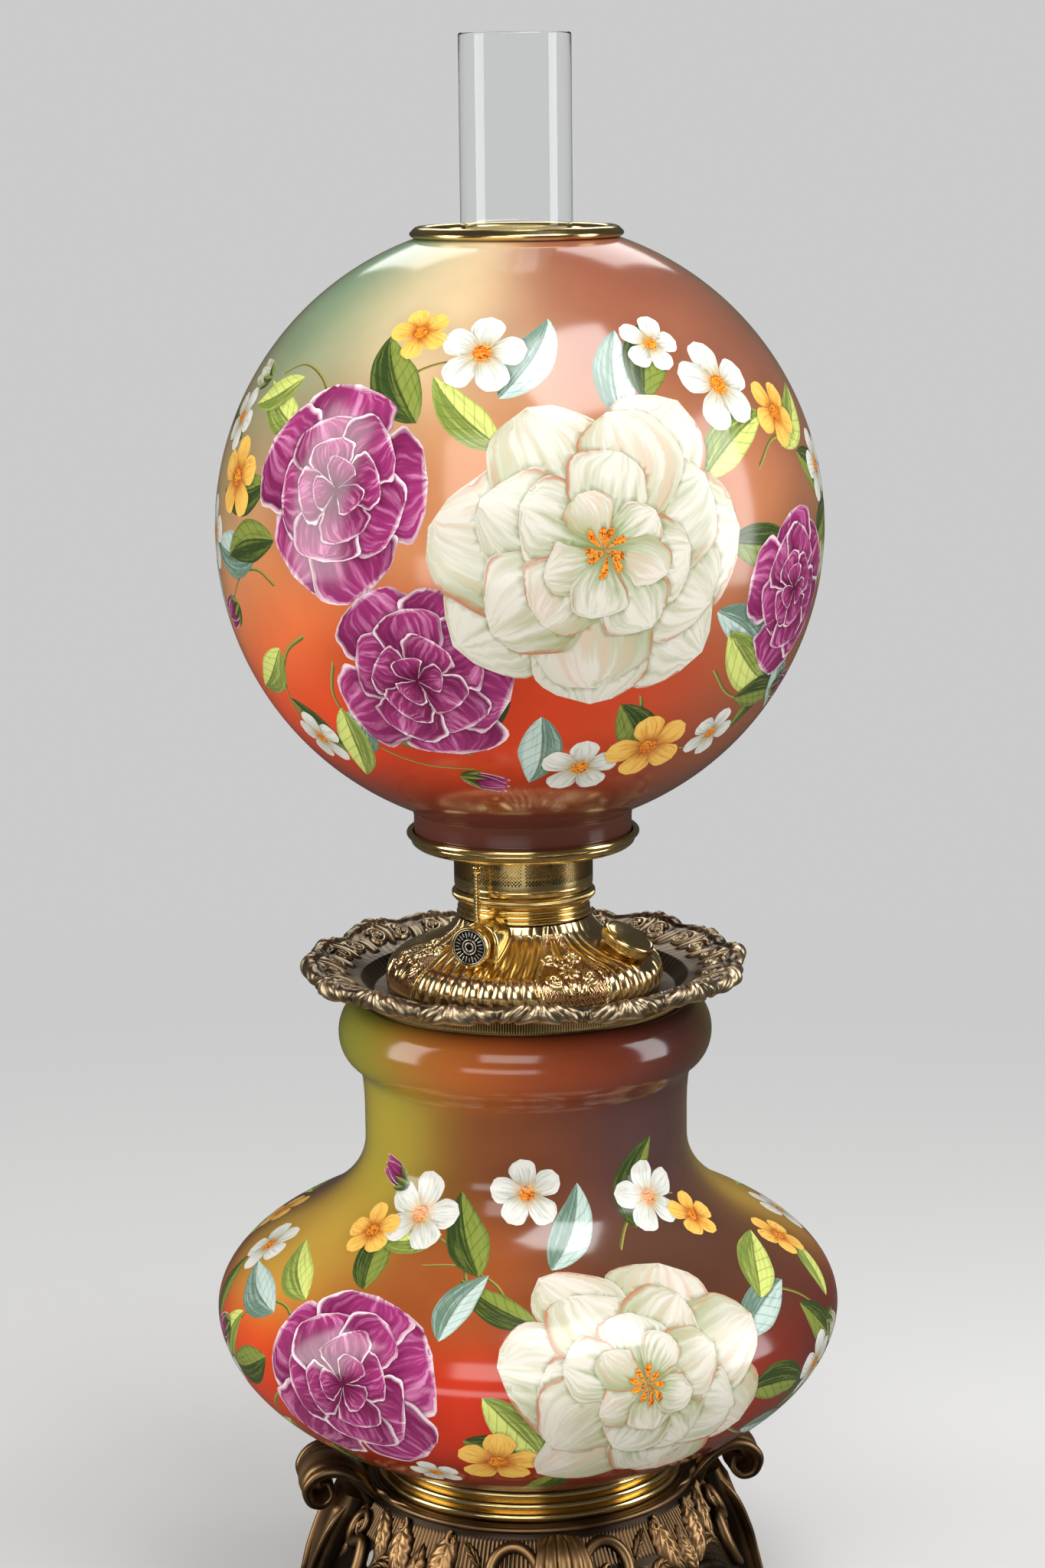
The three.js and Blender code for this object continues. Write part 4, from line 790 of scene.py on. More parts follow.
def panel_art(x, y):
    """The ornament of a panel, its places measured from the panel's middle and from the neck down."""
    ax = np.abs(x)
    art = [hump(x, y - 13.5, 2.3, 7.5), 0.9 * scroll_field(ax - 5.6, y - 19.0, 3.7, 200, 1.35),
           0.85 * hump(ax - 2.9, y - 23.2, 1.3, 3.2, 30), 0.9 * hump(x, y - 23.4, 3.4, 1.1)]
    for lean, reach in ((0, 7.0), (28, 6.2), (56, 5.2)):
        c, w = (0.62 * reach * v for v in (math.sin(math.radians(lean)), math.cos(math.radians(lean))))
        art.append(0.8 * hump(ax - c, y - 26.2 - w, 1.25, reach * 0.55, -lean))
    art += [0.75 * scroll_field(ax - 8.3, y - 33.6, 4.2, 110, 1.3, -1), 0.7 * hump(x, y - 37.5, 2.1, 4.2),
            0.6 * hump(ax - 4.2, y - 39.0, 1.6, 3.8, 18)]
    return np.max(art, 0)


def dome_lift(a, r, z, s):
    outside = s < dome_run
    share = np.clip(s / dome_run, 0, 1)
    turn = offset(a, panel_turn, 90)
    panel = np.interp(share, [0, 0.12, 0.35, 0.6, 0.85, 1], [5.5, 7.5, 13, 17.5, 16, 14])
    off = np.abs(turn) - panel
    # Flutes between the panels follow the panels' border
    lobes = np.abs(np.cos(np.pi * 4.5 * (1 - off / (45 - panel))))
    tall = np.interp(share, [0, 0.1, 0.4, 0.72, 0.86, 0.93, 1], [0.1, 0.35, 0.8, 1.35, 1.1, 0.35, 0])
    flutes = tall * (lobes ** 0.8 - 0.55) * (off > 0)
    border = np.interp(share, [0, 0.1, 0.8, 0.95, 1], [0.2, 0.8, 1.0, 0.5, 0])
    border = border * ridge(off * np.radians(1) * r + 1.1, 1.2)
    art = panel_art(np.radians(turn) * r, s) * (off < -0.06 * panel) * (share < 0.93)
    stipple = 0.15 * np.sin(a * 5.2 + 2 * np.sin(s * 1.1)) * np.sin(s * 3.1 + 2 * np.sin(a * 1.3))
    ground = -0.45 * smooth(-off, 0, 1.0) * smooth(share, 0.03, 0.12) * (1 - smooth(share, 0.86, 0.95))
    inside = (off < 0) * (ground + stipple * (art < 0.05) * (ground < -0.2) + art * 1.25)
    rise = np.where(outside, flutes + border + inside, 0)
    # Room for the filler and the wick raiser
    near = np.hypot(np.radians(offset(a, filler_turn)) * r, (z - dome_low - filler_rise) * 1.35)
    rise = rise * smooth(near, filler_room, filler_room + room_edge)
    near = np.hypot(np.radians(offset(a, raiser_turn)) * r, (r - raiser_reach) * 0.9)
    rise = rise * smooth(near, raiser_room, raiser_room + room_edge)
    crest = np.where(outside, np.clip(0.5 + rise * 0.42 - 0.12 * (off < 0) * (art < 0.05), 0, 1), 0.5)
    return rise - 0.25 * outside * smooth(rise, 0.6, 1.4), crest


underside = at(dome_low, (59.4, 0), (59.4, 1.2), (61.5, 2), (62.4, 6), (61.4, 10.6), (58.0, 14.6),
               (51.6, 17.8), (44.0, 20.8), (36.6, 25), (31.8, 30))
underside += at(dome_high, (30, -1), (24.5, -1), (24.5, 0))
Build().add(embossed(dome_line.tolist() + underside, 1440, 0.55, dome_lift)).piece("font_dome", sharp=60)

# Crown: leaves round a dished casting
crown_low, crown_high = ends("crown_casting")
crown_high -= 1.1  # which the relief adds to the rim's height
band_over = band_top + joint_gap
leaf_turn = 22.5  # from the middle of one leaf to the next


def shells(turn):
    """The height (0 to 1) of three rounded shells on each leaf, and the place (-1 to 1) across the leaf."""
    across = 2 * ((turn / leaf_turn + 0.25) % 1.0) - 1
    height = [tall * ridge(across - middle, half)
              for middle, half, tall in ((0, 0.42, 1.0), (0.66, 0.36, 0.78), (-0.66, 0.36, 0.78))]
    return np.max(height, 0), across


def crown_lift(a, r, z, s):
    reach = smooth(r, 74, 101)
    sweep = 2.6 * np.sin(reach * 2.4)
    rim = smooth(r, 93, 100)
    round_rim = rim * np.arctan2(z - crown_high + 2.6, r - 98.6)
    # The shells lean to the left in one half of a leaf and to the right in the other
    lean = np.sin(np.pi * shells(a + sweep)[1])
    lobes, across = shells(a + sweep + 2.8 * lean * round_rim)
    fine = np.abs(np.cos(np.pi * (3.5 * across + 0.6 * reach)))
    x, y = across * np.radians(leaf_turn / 2) * r, r - 88.5
    ax = np.abs(x)
    art = [scroll_field(ax - 8.0, y, 6.0, 60, 1.5), 0.9 * hump(x, y - 0.5, 2.6, 8.5),
           0.7 * hump(ax - 15.5, y + 2.5, 2.0, 7.5, -12), 0.7 * hump(ax - 4.6, y - 6.0, 1.6, 5.0, -24)]
    art = np.max(art, 0)
    above = rim * (3.2 * (lobes - 0.5) + 0.8 * (fine - 0.5)) + (1 - rim) * 1.9 * art * smooth(r, 78.5, 81)
    below = rim * (2.8 * (lobes - 0.45) + 0.8 * (fine - 0.5))
    rise = np.where(s < crown_turn, above, below) * smooth(r, 75, 80)
    return rise, np.clip(0.34 + rise * 0.24 + 0.1 * rim + 0.14 * fine, 0, 1)


crown_outline = [(61, crown_low), (73.7, crown_low)]
crown_outline += at(band_over, (73.7, 0), (75.7, 0), (82, 0.9), (89, 2.4), (95, 4.4))
crown_outline += [(98, crown_high - 5.8)] + arc(98.6, crown_high - 2.6, 3.3, -88, 100, 12)
crown_outline += at(crown_high, (96, -1.2), (91, -3.2), (85, -5.4), (79, -7.4))
crown_outline += [(75.7, band_over + 2.6)] + at(crown_low, (71.7, 4), (69.7, 2), (61, 2))
crown_outline = crown_outline[::-1]
# How far along the outline its upper side turns over the rim
crown_turn = 0.0
for here, there in zip(crown_outline, crown_outline[1:]):
    crown_turn += math.dist(here, there)
    if there[0] > 101.2:
        break
places, faces, crest = embossed(crown_outline, 1440, 0.7, crown_lift)
turn = np.degrees(np.arctan2(places[:, 0], -places[:, 1]))
reach = np.hypot(places[:, 0], places[:, 1])
beyond = smooth(reach, 74, 100)
lobes, across = shells(turn)
inwards = beyond * (2.0 * across ** 2 + 2.2 * (1 - lobes))
places[:, :2] *= ((reach - inwards) / reach)[:, None]
places[:, 2] += beyond * (0.9 * np.cos(np.radians(turn) * (180 / leaf_turn)) - 0.8 * across ** 2)
Build().add((places, faces, crest)).piece("crown_casting", name="crown_form", sharp=70)

# Wick raiser, made facing the front and turned to its side
shaft_height = sum(ends("pinion_shaft")) / 2
rack_shift, rack_reach, rack_radius, tooth_pitch = 4.65, 37.5, 1.6, 1.5708
to_side = Matrix.Rotation(math.radians(raiser_turn), 4, "Z")
upright = Matrix.Translation((0, 0, shaft_height)) @ Matrix.Rotation(math.radians(90), 4, "X")
to_shaft = to_side @ upright

lathe("wick_knob", [(0, 52.3)] + rounded([(1.8, 52.3), (1.8, 50), (8.0, 50, 0.6), (9.3, 50.9, 0.8),
                                          (9.3, 53.6, 0.9), (8.85, 54.6, 0.3), (8.4, 54.6, 0.2), (8.4, 53.2)])
      + [(0, 53.2)], matrix=to_shaft)
face_out = 54.3  # from the lamp's axis to the knob's face
face = Build()
face.add(turned([(0, 53.5), (8.1, 53.5), (8.1, 54.1), (7.9, face_out), (0, face_out)], 72))
for radius, size in ((7.75, 0.22), (3.3, 0.3), (1.9, 0.42)):
    face.add(turned(arc(radius, face_out, size, 0, 345, 12), 72), 1)
ticks = 24
for k in range(ticks):
    turn = math.radians(360 / ticks * k)
    inner = 4.3 if k % 2 else 4.9
    path = [(r * math.cos(turn), r * math.sin(turn), face_out) for r in np.linspace(inner, 7.0, 5)]
    face.add(swept(path, [0.16, 0.3, 0.36, 0.3, 0.16], 0.22, (-math.sin(turn), math.cos(turn), 0), 8), 1)
face.piece("knob_face", "blackened", "silvered", matrix=to_shaft)

lathe("shaft_bush", rounded([(1.9, 45.8), (3.6, 45.8, 0.2), (3.6, 47.2, 0.3), (3.0, 47.6, 0.2),
                             (3.0, 49.7, 0.3), (1.9, 49.7)]), 48, to_shaft)
lathe("pinion_shaft", [(0, 35.5)] + rounded([(1.5, 35.5, 0.2), (1.5, 52.0)]) + [(0, 52.0)], 32, to_shaft)

# The rack: a round rod with teeth on the shaft's side
floor_half, mouth_half = 0.22, 0.63  # of a gap between teeth
floor_at = 0.55  # a gap's floor, from the rod's middle
teeth_from = shaft_height - 5.5
rod_low, rod_high = ends("rack_rod")
rod_z = np.arange(rod_low, rod_high + 0.01, 0.125)
wave = np.abs(((rod_z - shaft_height) / tooth_pitch + 0.5) % 1.0 - 0.5) * tooth_pitch
flat = np.interp(wave, [floor_half, mouth_half], [floor_at, rack_radius])
flat[rod_z < teeth_from] = rack_radius
t = np.linspace(0, 2 * np.pi, 28, endpoint=False)
rod = np.stack(np.broadcast_arrays(np.minimum(rack_radius * np.cos(t), flat[:, None]) - rack_shift,
                                   rack_radius * np.sin(t) - rack_reach, rod_z[:, None]), -1).reshape(-1, 3)
Build().add((rod, closed(len(rod_z), len(t)))).piece("rack_rod", matrix=to_side, sharp=30)
ball_z, ball = sum(ends("rack_ball")) / 2, 2.1
lathe("rack_ball", [(0, ball_z - ball)] + arc(0, ball_z, ball, -80, 80, 16) + [(0, ball_z + ball)], 48,
      to_side @ Matrix.Translation((-rack_shift, -rack_reach, 0)))


def slab(outline, back, front, bevel, frame_in, sunk):
    """An upright block facing -Y with a bevelled face and a sunk panel. The outline is (x, z)."""
    p = np.array(outline, float)
    middle = p.mean(0)
    half = np.abs(p - middle).max(0)
    levels = [(0, back), (0, front - bevel), (bevel * 0.3, front - bevel * 0.3), (bevel, front),
              (bevel + frame_in, front), (bevel + frame_in + 0.4, front - sunk)]
    places = [(x, -depth, z) for inset, depth in levels
              for x, z in middle + (p - middle) * (1 - inset / half)]
    return np.array(places), closed(len(levels), len(p))


case_half = 9.4
case_outline = [(case_half, shaft_height - 13), (case_half, shaft_height)]
case_outline += arc(0, shaft_height, case_half, 8, 172, 20)
case_outline += [(-case_half, shaft_height), (-case_half, shaft_height - 13)]
case = Build().add(slab(case_outline, 30.5, 45.4, 1.2, 0.8, 0.5))
case.add(turned(rounded([(3.4, 44.6), (5.0, 44.6), (5.0, 45.4, 0.3), (3.4, 45.4, 0.2)]), 48), matrix=upright)
foot = at(shaft_height, (11.5, -10.8), (11.5, -9.6), (-11.5, -9.6), (-11.5, -10.8))
case.add(slab(foot, 40, 47.4, 0.4, 0.2, 0.0))
case.piece("gear_case", matrix=to_side, sharp=50)

# Filler, made upright and tilted with the dome's slope
filler_reach, filler_tilt = 48.2, 28
filler_height = dome_low + (dome_high - dome_low) * 0.596
to_filler = (Matrix.Rotation(math.radians(filler_turn), 4, "Z")
             @ Matrix.Translation((0, -filler_reach, filler_height))
             @ Matrix.Rotation(math.radians(filler_tilt), 4, "X"))
neck = [(7.2, -3), (8.6, -3), (8.6, -0.6), (10.2, -0.4), (10.4, 0.2), (9.6, 0.9), (8.2, 1.4)]
for k in range(3):
    neck += [(r, z + 1.4 * k) for r, z in ((8.1, 2.0), (8.6, 2.5), (8.6, 2.8), (8.1, 3.3))]
lathe("filler_neck", neck + [(8.3, 6.2), (7.2, 6.2)], 72, to_filler)
lathe("filler_gasket", rounded([(7.2, 6.5), (8.6, 6.5), (8.6, 7.2), (7.2, 7.2)], 0.15), 64, to_filler)
cap_teeth, cap_tooth_depth = 96, 0.3


def cap_lift(a, r, z, s):
    here = (r > 12.2) * smooth(z, 3.6, 4.1) * (1 - smooth(z, 6.6, 7.0))
    teeth = np.abs(np.cos(np.radians(a) * cap_teeth / 2))
    return here * (teeth - 1) * cap_tooth_depth, 0.75 - 0.35 * here * (1 - teeth)


Build().add(embossed([(0.05, 7.5), (9.0, 7.5), (9.0, 2.9), (11.6, 2.9), (12.3, 3.3), (12.5, 4.0), (12.5, 7.2),
                      (12.3, 7.9), (11.9, 8.3), (11.2, 8.45), (10.7, 8.2), (10.2, 8.45), (8, 8.85), (4, 9.15),
                      (0.05, 9.25)], 384, 0.5, cap_lift)).piece("filler_cap", matrix=to_filler)

# Font's hidden tubes and bowl
bottom, top = ends("font_bowl")
lathe("font_bowl", [(11.8, bottom), *arc(44, bottom + 15, 15, -90, 0, 12), (59, top), (58, top),
                    *arc(44, bottom + 15, 14, 0, -90, 12), (11.8, bottom + 1)], 128)
bottom, tube_high = ends("draft_tube")
lathe("draft_tube",
      rounded([(10.7, bottom), (11.5, bottom, 0.3), (11.5, tube_high, 0.3), (10.7, tube_high)]), 64)
bottom, flange = ends("wick_tube")[0], ends("burner_collar")[0]
lathe("wick_tube", rounded([(15.0, bottom), (15.8, bottom),
                            *at(flange, (15.8, 0), (26.5, 0), (26.5, 1), (15.8, 1)),
                            (15.8, tube_high, 0.3), (15.0, tube_high)]), 72)
bottom, top = ends("wick")
lathe("wick", rounded([(11.9, bottom), (14.4, bottom), *at(top, (14.5, -0.8, 0.5), (13.8, 0), (12.3, 0),
                                                            (11.9, -0.8, 0.5))]), 72)

# Chimney: a foot, a bulge and a straight pipe
bottom, top = ends("chimney")
foot_radius, bulge_radius, pipe_radius, glass_wall = 28.2, 31.6, 25, 2
rise = np.linspace(0, 1, 17)
share = 0.5 - 0.5 * np.cos(np.pi * rise)
glass = [(foot_radius, bottom + 1),
         *zip(foot_radius + (bulge_radius - foot_radius) * share, bottom + 15 + 25 * rise),
         *list(zip(bulge_radius - (bulge_radius - pipe_radius) * share, bottom + 40 + 36 * rise))[1:],
         *[(pipe_radius, z) for z in np.linspace(bottom + 90, top - 1, 14)]]
inside = [(r - glass_wall, z) for r, z in glass[::-1]]
lathe("chimney", arc(foot_radius - 1, bottom + 1, 1, -90, -10, 5) + glass
      + arc(pipe_radius - 1, top - 1, 1, 10, 170, 9) + inside
      + arc(foot_radius - 1, bottom + 1, 1, 190, 262, 5), 160)

# Flame spreader
seat, top = tube_high + joint_gap, ends("spreader_thimble")[1]
thimble = Build()
thimble.add(turned(rounded(at(seat, (9.7, -18), (10.3, -18, 0.2), (10.3, 0), (11.5, 0, 0.2), (11.5, 1, 0.3),
                              (10.3, 2), (10.3, 5), (9.7, 5))), 64))
thimble.add(pierced(10.3, 0.6, seat + 4.9, top, 40, 7, 0.45, 0.42, 0.7, 0.7, flare=3.2))
thimble.piece("spreader_thimble")
bottom, top = ends("spreader_disc")
lathe("spreader_disc", [(0, bottom), *rounded(at(bottom, (15.4, 0, 0.3), (15.6, 0.9, 0.4), (13.6, 1.5, 0.4),
                                                 (12.6, 1.2, 0.3), (8, 2.0, 1))), (0, top)], 72)

# What the chimney stands on and in
bottom, top = ends("burner_deck")
lathe("burner_deck", rounded([(18, bottom), (30.9, bottom),
                              *at(top, (30.9, 0), (27.6, 0, 0.2), (27.2, -0.4, 0.2), (19, -0.4),
                                  (18.6, 0, 0.2), (18, 0))]))


def prongs(radius, wall, bottom, top, count, gap):
    """A ring that is slit from the top into springy fingers."""
    width = 2 * math.pi * radius
    points = [(x, z) for z in (bottom, top) for x in np.linspace(0, width, 97)]
    loops = []
    for k in range(count):
        x = width * (k + 0.5) / count
        line = [(x - gap / 2, top), *arc(x, bottom + 5.2, gap / 2, 180, 360, 8), (x + gap / 2, top)]
        loops.append(list(range(len(points), len(points) + len(line))))
        points += line

    def place(x, s, side):
        bend = 0.15 * np.clip((s - bottom - 5) / (top - bottom), 0, 1) ** 2
        return around(radius - bend - wall * side, x / radius * 180 / np.pi, s)

    return walled(points, loops, width, place)


Build().add(prongs(29.2, 0.65, *ends("chimney_prongs"), 8, 4.6)).piece("chimney_prongs")

# What stays as the CAD made it, inside the lamp
for node in ("foot_washer", "spider_pad", "clamp_spider", "clamp_rod", "lower_washer", "lower_nut",
             "upper_nut", "mouth_plaster", "drive_pinion", "carrier_arm", "wick_carrier"):
    for held in frame["nodes"][node].material_slots:
        held.material = finishes[slot_of[node]]

# Painted surfaces. The globe and the vase are each covered by one sheet of triangles, and every
# petal, leaf and stem is a patch of that sheet with its own material.
class Surface:
    """A turned surface that is painted. Its places are x, round the lamp, and s, up along it."""

    def __init__(self, outline):
        line = np.array(outline, float)
        s = run(line)
        samples, span = 1500, 9
        self.s = np.linspace(0, s[-1], samples)
        self.r, self.z = (np.interp(self.s, s, line[:, k]) for k in (0, 1))
        dr, dz = np.gradient(self.r), np.gradient(self.z)
        size = np.hypot(dr, dz)
        soft = np.hanning(span) / np.hanning(span).sum()
        self.nr, self.nz = (np.convolve(np.pad(v, span // 2, "edge"), soft, "valid")
                            for v in (dz / size, -dr / size))
        self.reference = self.r.max()
        self.width = 2 * math.pi * self.reference

    def at(self, s):
        return (np.interp(s, self.s, v) for v in (self.r, self.z, self.nr, self.nz))

    def height(self, z):
        """The place along the surface at a height, on the part that runs steadily upwards."""
        up = slice(np.argmin(self.z), np.argmax(self.z))
        return float(np.interp(z, self.z[up], self.s[up]))


class Patch:
    """A painted shape: a spine with a half width, laid out round a centre on the surface."""

    def __init__(self, kind, centre, spine, half, wavy=0.0, waves=5, lopsided=0.0):
        self.kind, self.centre, self.spine = kind, centre, spine
        self.tint = rng.random()
        along = heading(self.spine)
        self.out = np.stack([-along[:, 1], along[:, 0]], 1)
        t = np.linspace(0, 1, len(self.spine))
        phase = self.tint * 6
        self.sides = [half * (1 + side * lopsided + wavy * t * np.sin(waves * np.pi * t + phase + side))
                      for side in (1, -1)]

    def outline(self):
        left = self.spine + self.out * self.sides[0][:, None]
        right = self.spine - self.out * self.sides[1][:, None]
        return np.vstack([right, left[-2:0:-1]])

    def stroke(self, local):
        """Along (0 to 1) and across (-1 to 1) for local points."""
        gap = local[:, None] - self.spine[None]
        near = np.argmin((gap ** 2).sum(2), 1)
        row = np.arange(len(local))
        side = (gap[row, near] * self.out[near]).sum(1)
        step = np.diff(self.spine, axis=0, append=self.spine[-1:] * 2 - self.spine[-2:-1])[near]
        ahead = (gap[row, near] * step).sum(1) / np.maximum((step ** 2).sum(1), 1e-9)
        along = (near + np.clip(ahead, -0.5, 0.5)) / (len(self.spine) - 1)
        width = np.where(side > 0, self.sides[0][near], self.sides[1][near])
        return np.clip(along, 0, 1), np.clip(side / np.maximum(width, 0.3), -1, 1)


def leaf_line(angle, reach, bend, count=15):
    """A spine that leaves the centre at an angle (degrees, 0 to the right) and bends to one side."""
    t = np.linspace(0, 1, count)
    c, s = math.cos(math.radians(angle)), math.sin(math.radians(angle))
    side = bend * reach * np.sin(t * np.pi * 0.75)
    return np.stack([c * reach * t - s * side, s * reach * t + c * side], 1)


def form(count, widest, fullness, width):
    """Half widths of a petal: widest is how far along, fullness from 1 (pointed) down to 0.4 (round)."""
    t = np.linspace(0, 1, count)
    power = math.log(0.5) / math.log(widest)
    return width / 2 * np.maximum(np.sin(np.pi * t ** power) ** fullness, 0) + 0.02


def whorls(sizes, turn, loose):
    """For each petal of a blossom, in the order of painting: its angle, reach and width."""
    for whorl, (count, reach, width) in enumerate(sizes):
        for k in rng.permutation(count):
            yield turn + 360 / count * (k + 0.5 * (whorl % 2) + rng.uniform(-loose, loose)), reach, width


def great_blossom(centre, size, turn=0.0):
    """A large pale blossom of broad petals in whorls round an orange heart."""
    made = []
    sizes = (7, 1.0, 0.82), (6, 0.8, 0.7), (5, 0.58, 0.54), (5, 0.38, 0.34)
    for angle, reach, width in whorls(sizes, turn, 0.12):
        line = leaf_line(angle, size * reach * rng.uniform(0.9, 1.08), rng.uniform(-0.2, 0.2), 21)
        half = form(21, rng.uniform(0.6, 0.7), rng.uniform(0.5, 0.66), size * width * rng.uniform(0.88, 1.08))
        made.append(Patch("ivory", centre, line, half, wavy=0.08, lopsided=rng.uniform(-0.18, 0.18)))
    stamens = 9
    for k in range(stamens):
        angle = turn + 360 / stamens * k + rng.uniform(-12, 12)
        line = leaf_line(angle, size * rng.uniform(0.11, 0.19), 0.2, 9)
        made.append(Patch("heart", centre, line, form(9, 0.75, 0.6, size * 0.045)))
    return made


def ruffled_blossom(centre, size, turn=0.0):
    """A magenta blossom of broad petals with pale, wavy edges."""
    made = []
    sizes = (5, 1.0, 1.08), (5, 0.74, 0.8), (4, 0.48, 0.56), (3, 0.28, 0.34)
    for angle, reach, width in whorls(sizes, turn, 0.1):
        line = leaf_line(angle, size * reach * rng.uniform(0.92, 1.06), rng.uniform(-0.12, 0.12), 21)
        half = form(21, 0.7, rng.uniform(0.42, 0.52), size * width * rng.uniform(0.92, 1.06))
        made.append(Patch("magenta", centre, line, half, wavy=0.07, waves=rng.uniform(5, 8)))
    return made


def small_blossom(centre, size, turn=0.0, kind="white"):
    """A small blossom of five round petals."""
    made, petals = [], 5
    for k in range(petals):
        angle = turn + 360 / petals * k + rng.uniform(-5, 5)
        line = leaf_line(angle, size * rng.uniform(0.93, 1.05), 0.0, 13)
        made.append(Patch(kind, centre, line, form(13, 0.66, 0.5, size * 0.72), wavy=0.05))
    line = np.stack([np.linspace(-0.22, 0.22, 9) * size, np.zeros(9)], 1)
    made.append(Patch("heart", centre, line, form(9, 0.5, 0.5, size * 0.42)))
    return made


def bud(centre, size, angle, kind="magenta"):
    petals = [Patch(kind, centre, leaf_line(angle + lean, size, -0.004 * lean, 11),
                    form(11, 0.45, 0.75, size * 0.42)) for lean in (-16, 16, 0)]
    return petals + [Patch("leaf", centre, leaf_line(angle + lean, size * 0.55, 0.1, 9),
                           form(9, 0.4, 0.9, size * 0.17)) for lean in (-34, 34, 6)]


def leaf(centre, kind, angle, reach, width, bend=0.12):
    return [Patch(kind, centre, leaf_line(angle, reach, bend, 19), form(19, 0.45, 0.85, width), wavy=0.04,
                  lopsided=rng.uniform(-0.12, 0.12))]


def stem(centre, points, width=1.7):
    line = through([(0, 0), *points], 8)
    return [Patch("stem", centre, line, np.linspace(width, width * 0.5, len(line)) / 2)]


def colour_points(mesh, name, values):
    """Stores a colour, given as three values for each point."""
    colours = np.hstack([values, np.ones((len(values), 1))])
    mesh.attributes.new(name, "FLOAT_COLOR", "POINT").data.foreach_set("color", colours.ravel())


def painted(name, node, surface, patches, ground, shadows, spacing):
    """Makes the sheet and gives each of its faces the topmost patch's material. Its ends meet between
    the two sprays, a quarter turn from the front."""
    middle, margin = 90, 0.5
    width, length = surface.width, surface.s[-1]
    # The sheet's rows lie closer where the outline bends: a radian counts as so many millimetres
    bend_length = 12
    lean = np.unwrap(np.arctan2(surface.nz, surface.nr))
    crowded = surface.s + bend_length * np.cumsum(np.abs(np.gradient(lean)))
    x_lines = np.linspace(-width / 2, width / 2, int(width / spacing) + 1)
    s_lines = np.interp(np.linspace(0, crowded[-1], int(crowded[-1] / spacing) + 1), crowded, surface.s)
    points = np.stack(np.meshgrid(x_lines, s_lines), -1).reshape(-1, 2)
    free = np.abs(points[:, 0]) < width / 2 - 1
    points[:, 0] += np.where(free, spacing * 0.25 * np.sin(points[:, 1] * 9), 0)
    kept, loops, parts, count = [], [], [points], len(points)
    for patch in patches:
        line = patch.outline()
        s = np.clip(patch.centre[1] + line[:, 1], margin, length - margin)
        r = np.interp(s, surface.s, surface.r)
        x = np.radians(patch.centre[0] - middle) * surface.reference + line[:, 0] * surface.reference / r
        if np.abs(x).max() > width / 2 - 1:
            continue
        kept.append(patch)
        parts.append(np.stack([x, s], 1))
        loops.append(list(range(count, count + len(line))))
        count += len(line)
    flat, faces, found = triangled(np.vstack(parts), loops)
    faces = np.array(faces)
    top = np.array([max(part) if part else -1 for part in found])
    r, z, nr, nz = surface.at(flat[:, 1])
    angle = middle + np.degrees(flat[:, 0] / surface.reference)
    corners, top_at = faces.ravel(), np.repeat(top, 3)
    stroke = np.zeros((len(corners), 2))
    tint = np.zeros(len(faces))
    for k in np.unique(top[top >= 0]):
        patch = kept[k]
        here = np.nonzero(top_at == k)[0]
        at = corners[here]
        local = np.stack([np.radians(angle[at] - patch.centre[0]) * r[at], flat[at, 1] - patch.centre[1]], 1)
        stroke[here] = np.stack(patch.stroke(local), 1)
        tint[top == k] = patch.tint
    mesh = bpy.data.meshes.new(name)
    mesh.from_pydata((around(r, angle, z) * MM).tolist(), [], welded(flat, width)[faces].tolist())
    order = list(paints)
    for kind in order:
        mesh.materials.append(paints[kind])
    which = [order.index(kept[k].kind if k >= 0 else "ground") for k in top]
    mesh.polygons.foreach_set("material_index", which)
    mesh.uv_layers.new(name="stroke").data.foreach_set("uv", stroke.ravel())
    mesh.attributes.new("tint", "FLOAT", "FACE").data.foreach_set("value", tint)
    over = np.full(len(flat), -1)
    np.maximum.at(over, corners, top_at)
    under = (over[corners] > top_at) & (top_at >= 0)
    mesh.attributes.new("under", "FLOAT", "CORNER").data.foreach_set("value", under.astype(float))
    shade = np.ones(len(flat))
    for centre, size, strength in shadows:
        away = np.hypot(np.radians(offset(angle, centre[0])) * r, flat[:, 1] - centre[1]) / size
        shade *= 1 - strength * np.exp(-away ** 6)
    colour_points(mesh, "ground", clouded(ground, angle, z) * shade[:, None])
    mesh.shade_smooth()
    a = np.radians(angle)
    normals = np.stack([nr * np.sin(a), -nr * np.cos(a), nz], 1)
    normals /= np.linalg.norm(normals, axis=1)[:, None]
    mesh.normals_split_custom_set_from_vertices(normals.tolist())
    shown(name, mesh, node, [node])


def clouded(clouds, angle, z):
    """A shaded ground colour, blended between soft clouds (angle, height, spreads, colour)."""
    total, weight = 0, 1e-9
    for at, height, wide, tall, colour in clouds:
        away = offset(angle, at) / wide if wide else 0 * angle
        w = np.exp(-(away ** 2 + ((z - height) / tall) ** 2))
        total = total + w[:, None] * np.array(linear(colour)[:3])
        weight = weight + w
    return total / weight[:, None]


